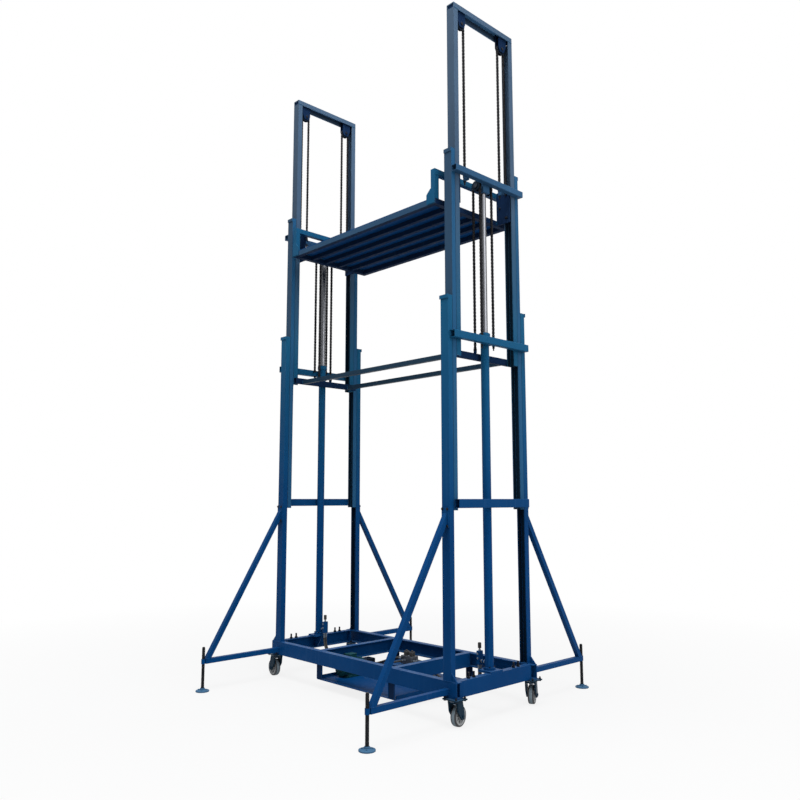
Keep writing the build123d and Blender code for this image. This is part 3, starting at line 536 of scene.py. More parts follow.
def paint(
    name,
    low,
    high=None,
    span=(1.2, 2.7),
    rough=0.45,
    worn=None,
    dusty=None,
    post=False,
    greasy=0.0,
    gloss=0.06,
    rim=None,
    under=None,
):
    """Sprayed enamel: tone that pales with height, partly a painted reflection, orange peel, dust on level
    faces, rubbed edges.

    A post also has a greasy web and painted shade with sooty grime in its hollow, a rim takes a lighter,
    painted lit colour beyond that distance from the middle, and faces that look down may get painted bounce
    light.
    """
    high = high or low
    finish = bpy.context.scene.lift_finish
    worn = finish.wear if worn is None else worn
    dusty = finish.dust_share if dusty is None else dusty
    material, tree, coords = blank(name)
    place = put(tree, "ShaderNodeSeparateXYZ", {"Vector": coords}).outputs
    drift = noise(tree, coords, 1.7, 2.0)
    # Paler towards the top: partly dust, partly a painted reflection of the sky.
    base = mixed(tree, spread(tree, place["Z"], *span), rgba(low), rgba(high))
    # Painted light: beyond the rim the deck frame's outer faces take a lighter, lit colour.
    if rim:
        out = math_of(tree, "ABSOLUTE", place["Y"])
        base = mixed(tree, spread(tree, out, rim - 0.003, rim), base, rgba(finish.lit_deck_rim))
    shade = put(
        tree, "ShaderNodeMix", {0: 1.0, 6: base, 7: SHADE_TINT}, data_type="RGBA", blend_type="MULTIPLY"
    )
    base = mixed(tree, spread(tree, drift, 0.35, 0.70, 0.0, 0.8), base, shade.outputs[2])
    streak_coords = put(
        tree, "ShaderNodeMapping", {"Vector": coords, "Scale": (38.0, 38.0, 1.6)}
    ).outputs["Vector"]
    streaks = spread(tree, noise(tree, streak_coords, 1.0, 4.0, 0.6), 0.56, 0.74, 0.0, 0.16)
    base = mixed(tree, streaks, base, rgba(tuple(0.6 * c + 0.4 * d for c, d in zip(low, finish.dust))))
    normal = put(tree, "ShaderNodeNewGeometry").outputs["Normal"]
    faces = put(tree, "ShaderNodeSeparateXYZ", {"Vector": normal}).outputs
    if post:
        outward, hollow = hollow_of(tree, place, faces)
        base = mixed(tree, spread(tree, outward, *FACING, 0.0, greasy), base, rgba(finish.grease))
        # Painted shade with sooty grime: the faces inside each post's channel darken, less so higher up.
        base = mixed(tree, hollow, base, rgba(finish.hollow_soot_and_shade))
    # Painted bounce light: faces that look down take a brighter blue of their own.
    if under:
        base = mixed(tree, spread(tree, faces["Z"], *AWAY), base, rgba(under))
    up = spread(tree, faces["Z"], 0.55, 0.98)
    settled = times(tree, up, spread(tree, noise(tree, coords, 9.0, 5.0, 0.65), 0.30, 0.75))
    base = mixed(tree, times(tree, settled, dusty), base, rgba(finish.dust))
    edge, rounded = edges_of(tree, 0.003)
    chips = spread(tree, noise(tree, coords, 62.0, 4.0, 0.7), 0.50, 0.62)
    bare = times(tree, times(tree, edge, chips), worn)
    base = mixed(tree, bare, base, BARE_EDGE)
    roughness = spread(tree, noise(tree, coords, 14.0, 4.0), 0.25, 0.75, rough - 0.07, rough + 0.12)
    peel = put(
        tree,
        "ShaderNodeBump",
        {"Height": noise(tree, coords, 420.0, 2.0), "Strength": 0.10, "Distance": 0.002, "Normal": rounded},
    ).outputs["Normal"]
    shader = put(
        tree,
        "ShaderNodeBsdfPrincipled",
        {
            "Base Color": base,
            "Roughness": roughness,
            "Normal": peel,
            "Specular IOR Level": gloss,
            "Specular Tint": ENAMEL_SHEEN,
        },
    )
    finish_off(tree, shader)
    return material


def metal(name, colour, rough, grime=0.4, scale=30.0, lines=None):
    """Bare or oiled metal with grime in patches and an optional direction of brushing."""
    material, tree, coords = blank(name)
    patch = noise(tree, coords, scale, 5.0, 0.6)
    dark = tuple(c * 0.35 for c in colour)
    base = mixed(tree, spread(tree, patch, 0.45, 0.75, 0.0, grime), rgba(colour), rgba(dark))
    stretch = lines or (160.0, 160.0, 160.0)
    fine_coords = put(tree, "ShaderNodeMapping", {"Vector": coords, "Scale": stretch}).outputs["Vector"]
    fine = noise(tree, fine_coords, 1.0, 3.0)
    roughness = spread(tree, patch, 0.3, 0.75, rough * 0.8, min(1.0, rough * 1.35))
    edge, rounded = edges_of(tree, 0.0012)
    rubbed = tuple(min(1.0, c * 1.5 + 0.05) for c in colour)
    base = mixed(tree, times(tree, edge, 0.35), base, rgba(rubbed))
    bumped = put(
        tree, "ShaderNodeBump", {"Height": fine, "Strength": 0.08, "Distance": 0.001, "Normal": rounded}
    ).outputs["Normal"]
    shader = put(
        tree,
        "ShaderNodeBsdfPrincipled",
        {"Base Color": base, "Roughness": roughness, "Normal": bumped, "Metallic": 1.0},
    )
    finish_off(tree, shader)
    return material


def soft(name, colour, rough, grain=260.0, depth=0.15, scuff=0.3):
    """Rubber or moulded plastic with a fine grain and pale scuffs."""
    material, tree, coords = blank(name)
    patch = noise(tree, coords, 24.0, 5.0, 0.6)
    pale = tuple(c * 0.6 + 0.06 for c in colour)
    base = mixed(tree, spread(tree, patch, 0.5, 0.8, 0.0, scuff), rgba(colour), rgba(pale))
    roughness = spread(tree, patch, 0.3, 0.8, rough, min(1.0, rough + 0.2))
    fine = noise(tree, coords, grain, 2.0)
    bumped = put(
        tree, "ShaderNodeBump", {"Height": fine, "Strength": depth, "Distance": 0.001}
    ).outputs["Normal"]
    shader = put(
        tree,
        "ShaderNodeBsdfPrincipled",
        {"Base Color": base, "Roughness": roughness, "Normal": bumped, "Specular IOR Level": 0.15},
    )
    finish_off(tree, shader)
    return material


def hose_cover(name):
    """Black hose rubber with a faint wrapped pattern along it."""
    material, tree, coords = blank(name)
    wrap = put(
        tree,
        "ShaderNodeTexWave",
        {"Vector": coords, "Scale": 90.0, "Distortion": 0.6, "Detail": 1.0},
        bands_direction="DIAGONAL",
    ).outputs["Fac"]
    patch = noise(tree, coords, 30.0, 4.0)
    base = mixed(tree, spread(tree, patch, 0.4, 0.8), (0.008, 0.008, 0.009, 1.0), (0.03, 0.03, 0.032, 1.0))
    roughness = spread(tree, patch, 0.3, 0.8, 0.38, 0.6)
    bumped = put(
        tree, "ShaderNodeBump", {"Height": wrap, "Strength": 0.12, "Distance": 0.001}
    ).outputs["Normal"]
    shader = put(
        tree, "ShaderNodeBsdfPrincipled", {"Base Color": base, "Roughness": roughness, "Normal": bumped}
    )
    finish_off(tree, shader)
    return material


def finish_named(name):
    """The finish of that name, made when it is first asked for."""
    found = bpy.data.materials.get(name)
    if found:
        return found
    finish = bpy.context.scene.lift_finish
    makers = {
        "blue_enamel": lambda: paint(name, finish.base_blue, finish.upper_blue),
        "outer_enamel": lambda: paint(name, finish.base_blue, finish.upper_blue, post=True),
        "middle_enamel": lambda: paint(name, finish.middle_blue, post=True, greasy=0.65),
        # The inner stage pales upwards, partly dust and partly painted reflection, and its downward faces get
        # painted bounce light.
        "inner_enamel": lambda: paint(
            name,
            finish.upper_blue,
            finish.inner_blue,
            span=(2.5, 3.7),
            post=True,
            greasy=0.5,
            under=finish.painted_underside_light,
        ),
        # Painted shade: no dust on the tops of the outriggers and the tray, so they stay as dark as shaded
        # paint.
        "dustless_shade_enamel": lambda: paint(name, finish.base_blue, worn=0.1, dusty=0.0),
        # Painted shade: little dust, so the middle stage's top beams stay dark.
        "low_dust_shade_beam_enamel": lambda: paint(name, finish.beam_blue, worn=0.1, dusty=0.1),
        "bar_enamel": lambda: paint(name, finish.bar_blue, dusty=0.1),
        # Painted shade: the dark copy of the blue for parts that lie in shade.
        "shade_navy_enamel": lambda: paint(name, finish.shade_navy, rough=0.6, worn=0.05, dusty=0.1, gloss=0.03),
        # Painted shade and light: the deck frame is a dark copy of the blue with a lighter, lit rim.
        "shade_navy_lit_rim_enamel": lambda: paint(
            name, finish.shade_navy, rough=0.6, worn=0.05, dusty=0.1, gloss=0.03, rim=LIT_RIM_Y
        ),
        "deck_enamel": lambda: paint(name, finish.base_blue, rough=0.5, dusty=0.32),
        "green_enamel": lambda: paint(name, finish.motor_green, dusty=0.15),
        "foot_enamel": lambda: paint(name, finish.foot_blue, rough=0.45, worn=0.5, dusty=0.1),
        "fork_enamel": lambda: paint(name, finish.fork, rough=0.35, worn=0.5),
        "chrome_plunger": lambda: metal(name, (0.17, 0.175, 0.19), 0.24, grime=0.25, lines=(300, 300, 4)),
        "oiled_steel": lambda: metal(name, (0.016, 0.016, 0.019), 0.48, grime=0.5, scale=60),
        "black_bolt": lambda: metal(name, (0.014, 0.016, 0.022), 0.48, grime=0.3, scale=80),
        "machined_steel": lambda: metal(name, (0.06, 0.07, 0.09), 0.42, grime=0.4),
        "zinc_plate": lambda: metal(name, (0.16, 0.19, 0.23), 0.42, grime=0.35, scale=45),
        "cast_iron": lambda: metal(name, (0.012, 0.022, 0.038), 0.55, grime=0.5, scale=50),
        "machined_alloy": lambda: metal(name, (0.14, 0.15, 0.17), 0.42, grime=0.3, lines=(20, 260, 260)),
        "dark_screw": lambda: metal(name, (0.016, 0.017, 0.020), 0.46, grime=0.4, scale=70),
        "hose_rubber": lambda: hose_cover(name),
        "tyre_rubber": lambda: soft(name, finish.tyre, 0.6, grain=320, scuff=0.35),
        "tread_rubber": lambda: soft(name, finish.tread, 0.7, grain=320, scuff=0.5),
        "hub_nylon": lambda: soft(name, finish.hub, 0.45, grain=400, depth=0.05, scuff=0.15),
        "black_plastic": lambda: soft(name, (0.010, 0.010, 0.011), 0.38, grain=500, depth=0.05, scuff=0.2),
        "seal_rubber": lambda: soft(name, (0.012, 0.012, 0.012), 0.5, grain=300),
    }
    return makers[name]()


# Nodes of the frame by finish. The others are blue_enamel.
NODE_FINISH = {
    "outer_enamel": ("outer_posts_left", "outer_posts_right"),
    "middle_enamel": ("mid_posts_left", "mid_posts_right"),
    "inner_enamel": ("inner_posts_left", "inner_posts_right", "inner_top_crossbeams"),
    # Painted shade: without dust these tops stay dark.
    "dustless_shade_enamel": ("outrigger_beams", "power_tray"),
    # Painted shade: little dust keeps these beams dark.
    "low_dust_shade_beam_enamel": ("mid_top_crossbeams",),
    "bar_enamel": ("tie_bars",),
    # Painted shade: these parts take the dark copy of the blue.
    "shade_navy_enamel": ("inner_crossbeams", "carriage_plates", "top_sheave_brackets", "tray_straps"),
    # Painted shade and light: dark underneath, lighter on the outer faces.
    "shade_navy_lit_rim_enamel": ("deck_frame",),
    "chrome_plunger": ("plunger_rods",),
    "oiled_steel": ("mid_rollers", "inner_rollers", "carriage_rollers"),
    "black_bolt": ("frame_bolts",),
    "machined_steel": ("sheave_axles",),
    "fork_enamel": (*(f"fork_{name}" for name in CORNER_NAMES.values()), "caster_plates"),
    "cast_iron": (
        "gear_pump",
        "left_lift_sheaves",
        "right_lift_sheaves",
        "front_top_sheaves",
        "back_top_sheaves",
    ),
    "machined_alloy": ("manifold",),
    "hose_rubber": ("hydraulic_hoses",),
    "deck_enamel": ("deck_plate",),
}


class LIFT_OT_stage(bpy.types.Operator):
    """Sets the camera, the pale floor and the soft studio light"""

    bl_idname = "lift.stage"
    bl_label = "Stage"

    def execute(self, context):
        stage = context.scene.lift_stage
        lens = bpy.data.cameras.new("photo_camera")
        lens.lens = stage.camera_lens
        lens.sensor_width = 36.0
        lens.clip_end = 100.0
        camera = bpy.data.objects.new("photo_camera", lens)
        context.scene.collection.objects.link(camera)
        yaw, pitch = stage.camera_yaw, stage.camera_pitch
        ahead = Vector((-math.sin(yaw) * math.cos(pitch), math.cos(yaw) * math.cos(pitch), math.sin(pitch)))
        camera.location = stage.camera_at
        camera.rotation_mode = "QUATERNION"
        camera.rotation_quaternion = ahead.to_track_quat("-Z", "Y")
        context.scene.camera = camera
        context.scene.view_settings.view_transform = "Standard"
        self.floor(context)
        self.sky(context, stage)
        self.lamp(context, "overhead_lamp", (1.5, -2, 9), (0, 0, 2.2), size=6.0, power=stage.key_power)
        self.lamp(context, "mast_lamp", (8, 0.5, 4.5), (0, 0, 2.4), size=5.0, power=stage.side_power)
        return {"FINISHED"}

    def floor(self, context):
        """A pale floor that runs out to white and keeps the shadow."""
        bm = bmesh.new()
        bmesh.ops.create_grid(bm, x_segments=2, y_segments=2, size=60.0)
        mesh = bpy.data.meshes.new("studio_floor")
        bm.to_mesh(mesh)
        bm.free()
        material, tree, coords = blank("pale_floor")
        tone = mixed(tree, noise(tree, coords, 0.8, 4.0), (0.48, 0.48, 0.48, 1.0), (0.52, 0.52, 0.52, 1.0))
        ground = put(tree, "ShaderNodeBsdfDiffuse", {"Color": tone})
        glow = put(tree, "ShaderNodeEmission", {"Color": (1.0, 1.0, 1.0, 1.0), "Strength": 1.0})
        away = put(tree, "ShaderNodeVectorMath", {0: coords}, operation="LENGTH").outputs["Value"]
        share = times(tree, self.seen(tree), spread(tree, away, 1.5, 5.5, 0.84, 1.0))
        shader = put(tree, "ShaderNodeMixShader", {0: share, 1: ground.outputs[0], 2: glow.outputs[0]})
        finish_off(tree, shader)
        mesh.materials.append(material)
        floor = bpy.data.objects.new("studio_floor", mesh)
        context.scene.collection.objects.link(floor)

    def sky(self, context, stage):
        """Even light from all round, shown as white."""
        world = bpy.data.worlds.new("studio")
        world.use_nodes = True
        tree = world.node_tree
        tree.nodes.clear()
        daylight, white = (0.95, 0.97, 1.0, 1.0), (1.0, 1.0, 1.0, 1.0)
        light = put(tree, "ShaderNodeBackground", {"Color": daylight, "Strength": stage.sky_strength})
        shown = put(tree, "ShaderNodeBackground", {"Color": white, "Strength": 1.0})
        parts = {0: self.seen(tree), 1: light.outputs[0], 2: shown.outputs[0]}
        shader = put(tree, "ShaderNodeMixShader", parts)
        put(tree, "ShaderNodeOutputWorld", {"Surface": shader.outputs[0]})
        context.scene.world = world

    def seen(self, tree):
        """One for rays from the camera and for what metal and glass show, nought for light."""
        path = put(tree, "ShaderNodeLightPath").outputs
        shown = math_of(tree, "MAXIMUM", path["Is Camera Ray"], path["Is Glossy Ray"])
        return math_of(tree, "MAXIMUM", shown, path["Is Transmission Ray"])

    def lamp(self, context, name, at, aim, size, power):
        """A soft square lamp that looks at a point."""
        data = bpy.data.lights.new(name, "AREA")
        data.energy = power
        data.size = size
        made = bpy.data.objects.new(name, data)
        made.location = at
        made.rotation_mode = "QUATERNION"
        made.rotation_quaternion = (Vector(aim) - Vector(at)).to_track_quat("-Z", "Y")
        context.scene.collection.objects.link(made)


class LIFT_OT_finish(bpy.types.Operator):
    """Gives every piece of the frame its paint, metal or rubber"""

    bl_idname = "lift.finish"
    bl_label = "Frame finishes"

    def execute(self, context):
        chosen = {node: name for name, nodes in NODE_FINISH.items() for node in nodes}
        for node, made in NODES.items():
            material = finish_named(chosen.get(node, "blue_enamel"))
            for slot in made.material_slots:
                slot.material = material
        return {"FINISHED"}


class LIFT_OT_chains(bpy.types.Operator):
    """Hangs leaf chains over the sheaves, with straight strands from the anchors up to the sheaves"""

    bl_idname = "lift.chains"
    bl_label = "Chains"

    def execute(self, context):
        detail = context.scene.lift_detail
        self.pitch = detail.chain_pitch
        self.height = detail.plate_height
        self.thick = detail.plate_thick
        lift_x, lift_y, lift_z = LIFT_SHEAVE
        top_x, top_y, top_z = TOP_SHEAVE
        along_x, along_y = Vector(ALONG_X), Vector(ALONG_Y)
        lift = (lift_z, along_y, "mid_stage")
        carriage = (top_z, along_x, "inner_stage")
        for name, x, y, low, low_body, (high, across, high_body) in (
            ("lift_chain_fixed", LIFT_FIXED_X, lift_y, LIFT_ANCHOR_Z, "base", lift),
            ("lift_chain_free", LIFT_FREE_X, lift_y, INNER_ANCHOR_Z, "inner_stage", lift),
            ("carriage_chain_fixed", top_x, TOP_FIXED_Y, MID_ANCHOR_Z, "mid_stage", carriage),
            ("carriage_chain_free", top_x, TOP_FREE_Y, CARRIAGE_ANCHOR_Z, "platform", carriage),
        ):
            places = [(sx * x, sy * y) for sx, sy in CORNERS]
            self.strand(name, places, low, high, across, low_body, high_body)
        over_lift = [(Vector((sx * lift_x, sy * lift_y, lift_z)), along_x) for sx, sy in CORNERS]
        over_top = [(Vector((sx * top_x, sy * top_y, top_z)), along_y) for sx, sy in CORNERS]
        lift_crowns = self.crown("lift_chain_crowns", over_lift, LIFT_PITCH_R, along_y, "mid_stage")
        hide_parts("lift_chains")
        top_crowns = self.crown("carriage_chain_crowns", over_top, TOP_PITCH_R, along_x, "inner_stage")
        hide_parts("carriage_chains")
        return {"FINISHED"}

    def plate(self, bm, first, last, across, offset):
        """One link plate from pin to pin, rounded at both ends."""
        run = last - first
        ahead = run.normalized()
        side = ahead.cross(across)
        r = self.height / 2
        outline = []
        for pin, quarter in ((last, -0.5), (first, 0.5)):
            for k in range(7):
                a = math.pi * (k / 6 + quarter)
                outline.append(pin + (ahead * math.cos(a) * 0.85 + side * math.sin(a)) * r)
        near = [bm.verts.new(p + across * (offset - self.thick / 2)) for p in outline]
        far = [bm.verts.new(p + across * (offset + self.thick / 2)) for p in outline]
        bm.faces.new(near)
        bm.faces.new(list(reversed(far)))
        for k in range(len(near)):
            n = (k + 1) % len(near)
            bm.faces.new((near[n], near[k], far[k], far[n]))

    def links(self, bm, points, across, first=0):
        """Plates and pins along a row of pin centres. Odd and even links take turns."""
        gap = self.thick * 1.08
        reach = 3.05 * gap
        pin_r = 0.0021
        for k, (here, there) in enumerate(zip(points, points[1:]), start=first):
            offsets = (-2.5, -0.5, 0.5, 2.5) if k % 2 else (-1.5, 1.5)
            for share in offsets:
                self.plate(bm, here, there, across, share * gap)
            lathe(bm, [(0, -reach), (pin_r, -reach), (pin_r, reach), (0, reach)], here, across, steps=8)

    def strand(self, name, places, low, high, across, low_body, high_body):
        """Straight strands between an anchor and a sheave, in parts of nearly even length."""
        count = max(STRAND_PARTS, round((high - low) / self.pitch))
        for part in range(STRAND_PARTS):
            first = round(count * part / STRAND_PARTS)
            last = round(count * (part + 1) / STRAND_PARTS)
            bm = bmesh.new()
            for x, y in places:
                pins = [Vector((x, y, low + (high - low) * k / count)) for k in range(first, last + 1)]
                self.links(bm, pins, across, first)
            made = piece(f"{name}_{part}", bm, finish_named("oiled_steel"), None)
            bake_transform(made)

    @staticmethod
    def eased(share):
        """Where a smooth step from 0 to 1 reaches that share."""
        return 0.5 - math.sin(math.asin(1 - 2 * share) / 3)

    def crown(self, name, centres, radius, across, body):
        """The links that lie over the sheaves."""
        bm = bmesh.new()
        count = max(4, round(math.pi * radius / self.pitch))
        for centre, out in centres:
            pins = []
            for k in range(count + 1):
                a = math.pi * k / count
                pins.append(centre + out * math.cos(a) * radius + Vector((0, 0, math.sin(a) * radius)))
            self.links(bm, pins, across)
        return piece(name, bm, finish_named("oiled_steel"), body)


class LIFT_OT_anchors(bpy.types.Operator):
    """Adds the chain anchors' pins, studs and nuts"""

    bl_idname = "lift.anchors"
    bl_label = "Chain anchors"

    def execute(self, context):
        base, mid, inner, platform = bmesh.new(), bmesh.new(), bmesh.new(), bmesh.new()
        lug = 0.030
        pin_half = 0.022
        for sx, sy in CORNERS:
            self.clevis(base, (sx * LIFT_FIXED_X, sy * LIFT_SHEAVE[1], LIFT_ANCHOR_Z), ALONG_Y)
            self.tail(base, (sx * LIFT_FIXED_X, sy * LIFT_SHEAVE[1], LIFT_ANCHOR_Z - lug))
            self.clevis(mid, (sx * MAST_X, sy * TOP_FIXED_Y, MID_ANCHOR_Z), ALONG_X)
            self.tail(mid, (sx * MAST_X, sy * TOP_FIXED_Y, MID_ANCHOR_Z - lug))
            self.clevis(inner, (sx * LIFT_FREE_X, sy * LIFT_SHEAVE[1], INNER_ANCHOR_Z), ALONG_Y)
            self.clevis(platform, (sx * MAST_X, sy * TOP_FREE_Y, CARRIAGE_ANCHOR_Z), ALONG_X)
            for end in SIDES:
                pin_end = (sx * MAST_X + end * pin_half, sy * TOP_SHEAVE[1], TOP_SHEAVE[2])
                hexagon(inner, pin_end, (end, 0, 0), 0.022, 0.004)
        for name, bm, body in (
            ("lift_chain_anchors", base, "base"),
            ("carriage_chain_anchors", mid, "mid_stage"),
            ("inner_chain_anchors", inner, "inner_stage"),
            ("platform_chain_anchors", platform, "platform"),
        ):
            piece(name, bm, finish_named("black_bolt"), body)
        return {"FINISHED"}

    def clevis(self, bm, at, across):
        """Two cheeks and a pin that hold the last link on a lug."""
        across = Vector(across)
        side = Vector((across.y, across.x, 0))
        for end in SIDES:
            cheek = Vector((0.003, 0.003, 0.020)) + side * 0.009
            block(bm, cheek, Vector(at) + across * end * 0.0103 + Vector((0, 0, 0.006)), 0.0008)
        pin_r, pin_length = 0.0045, 0.027
        start = Vector(at) + Vector((0, 0, 0.008)) - across * (pin_length / 2)
        lathe(bm, [(0, 0), (pin_r, 0), (pin_r, pin_length), (0, pin_length)], start, across, steps=16)

    def tail(self, bm, at):
        """The stud and two nuts under a lug."""
        stud(bm, at, DOWN, radius=0.005, length=0.030)
        hexagon(bm, at, DOWN, across=0.016, height=0.008)
        hexagon(bm, Vector(at) + Vector((0, 0, -0.009)), DOWN, across=0.016, height=0.006)


class LIFT_OT_wheels(bpy.types.Operator):
    """Makes the caster wheels: rounded tyre, ribbed centre and bearing caps"""

    bl_idname = "lift.wheels"
    bl_label = "Caster wheels"

    def execute(self, context):
        ribs = context.scene.lift_detail.wheel_ribs
        for corner in CORNERS:
            name = CORNER_NAMES[corner]
            at = (CASTER_TRAIL, 0, WHEEL_R)
            body = f"roller_wheel_{name}"
            self.place = Matrix.Translation((corner[0] * CASTER_AT[0], corner[1] * CASTER_AT[1], 0))
            self.place @= Matrix.Rotation(math.radians(CASTER_TURN[corner]), 4, "Z")
            tyre = bmesh.new()
            wall = [(0.0535, -0.0175), (0.0545, -0.0200), (0.0565, -0.0209), (0.0597, -0.0207)]
            wall += [(0.0624, -0.0186), (0.0641, -0.0150), (0.0641, -0.0095)]
            lathe(tyre, mirrored(wall), at, ALONG_Y, steps=64)
            tyre.transform(self.place)
            made = piece(f"tyre_{name}", tyre, finish_named("tyre_rubber"), body)
            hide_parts(f"wheel_{name}")
            self.tread(at, name, body)
            self.centre(at, ribs, name, body)
            self.raceway(name)
            self.king_nut(name)
        return {"FINISHED"}

    def tread(self, at, name, body):
        """The dusty running band of the tyre."""
        band = bmesh.new()
        edge = [(0.0632, -0.0105), (0.0644, -0.0103), (0.0650, -0.0088)]
        lathe(band, mirrored(edge), at, ALONG_Y, steps=64)
        band.transform(self.place)
        piece(f"tread_{name}", band, finish_named("tread_rubber"), body)

    def raceway(self, name):
        """The bright swivel ring between plate and fork."""
        ring = bmesh.new()
        section = [(0.0360, 0.1618), (0.0378, 0.1622), (0.0392, 0.1638)]
        section += [(0.0392, 0.1672), (0.0378, 0.1692), (0.0360, 0.1696)]
        lathe(ring, section + section[:1], (0, 0, 0), UP, steps=48)
        ring.transform(self.place)
        piece(f"raceway_{name}", ring, finish_named("zinc_plate"), f"caster_{name}")

    def king_nut(self, name):
        """The nut under the fork's crown, on the end of the king pin."""
        nut = bmesh.new()
        hexagon(nut, (0, 0, FORK_CROWN_LOW), DOWN, across=0.024, height=0.010)
        nut.transform(self.place)
        piece(f"king_nut_{name}", nut, finish_named("zinc_plate"), "base")

    def centre(self, at, ribs, name, body):
        """The dished centre with its boss, ribs and bearing caps."""
        hub = bmesh.new()
        rim = [(WHEEL_BORE_R, -0.0272), (0.0140, -0.0272), (0.0166, -0.0252), (0.0178, -0.0085)]
        rim += [(0.0350, -0.0070), (0.0405, -0.0100), (0.0432, -0.0186), (0.0470, -0.0198), (0.0550, -0.0196)]
        lathe(hub, mirrored(rim), at, ALONG_Y, steps=64)
        for k in range(ribs):
            a = 2 * math.pi * k / ribs
            turn = Matrix.Rotation(-a, 3, "Y")
            for end in SIDES:
                middle = Vector(at) + turn @ Vector((0.0295, 0, 0)) + Vector((0, end * 0.0115, 0))
                block(hub, (0.0270, 0.0120, 0.005), middle, 0.001, turn.to_quaternion())
        cap_r, cap_thick = 0.0135, 0.0012
        cap = [(WHEEL_BORE_R, 0), (cap_r, 0), (cap_r, cap_thick), (WHEEL_BORE_R, cap_thick)]
        for end in SIDES:
            lathe(hub, cap + cap[:1], Vector(at) + Vector((0, end * 0.0266, 0)), (0, end, 0), steps=32)
        hub.transform(self.place)
        piece(f"wheel_centre_{name}", hub, finish_named("hub_nylon"), body)


class LIFT_OT_jacks(bpy.types.Operator):
    """Cuts the thread on the jack screws and shapes their dished feet"""

    bl_idname = "lift.jacks"
    bl_label = "Jacks"

    def execute(self, context):
        pitch = context.scene.lift_detail.thread_pitch
        neck_r, core_r, crest_r = 0.0118, 0.0100, 0.0119
        thread_low, thread_top = 0.050, 0.312
        for sx, sy in CORNERS:
            name = CORNER_NAMES[(sx, sy)]
            at = Vector((sx * MAST_X, sy * JACK_Y, 0))
            body = f"foot_jack_{name}"
            screw = bmesh.new()
            profile = [(0, 0.020), (neck_r, 0.020), (neck_r, 0.048)]
            for k in range(int((thread_top - thread_low) / pitch)):
                low = thread_low + k * pitch
                profile += [(core_r, low), (core_r, low + pitch * 0.32)]
                profile += [(crest_r, low + pitch * 0.5), (crest_r, low + pitch * 0.82)]
            profile += [(core_r, 0.3135), (core_r, 0.3185), (0.0085, 0.320), (0, 0.320)]
            lathe(screw, profile, at, UP, steps=24)
            piece(f"screw_{name}", screw, finish_named("dark_screw"), body)
            foot = bmesh.new()
            dish = [(0, 0.0), (0.0488, 0.0), (0.0499, 0.0012), (0.0499, 0.0078), (0.0488, 0.0090)]
            dish += [(0.0455, 0.0097), (0.0205, 0.0146), (0.0184, 0.0160), (0.0180, 0.0244)]
            dish += [(0.0168, 0.0257), (0.0125, 0.0260), (0, 0.0260)]
            lathe(foot, dish, at, UP, steps=64)
            for k in range(4):
                turn = Matrix.Rotation(math.radians(45 + 90 * k), 3, "Z")
                gusset = at + turn @ Vector((0.026, 0, 0.0150))
                block(foot, (0.018, 0.004, 0.008), gusset, 0.001, turn.to_quaternion())
            made = piece(f"foot_{name}", foot, finish_named("foot_enamel"), body)
            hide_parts(f"jack_{name}")
        return {"FINISHED"}


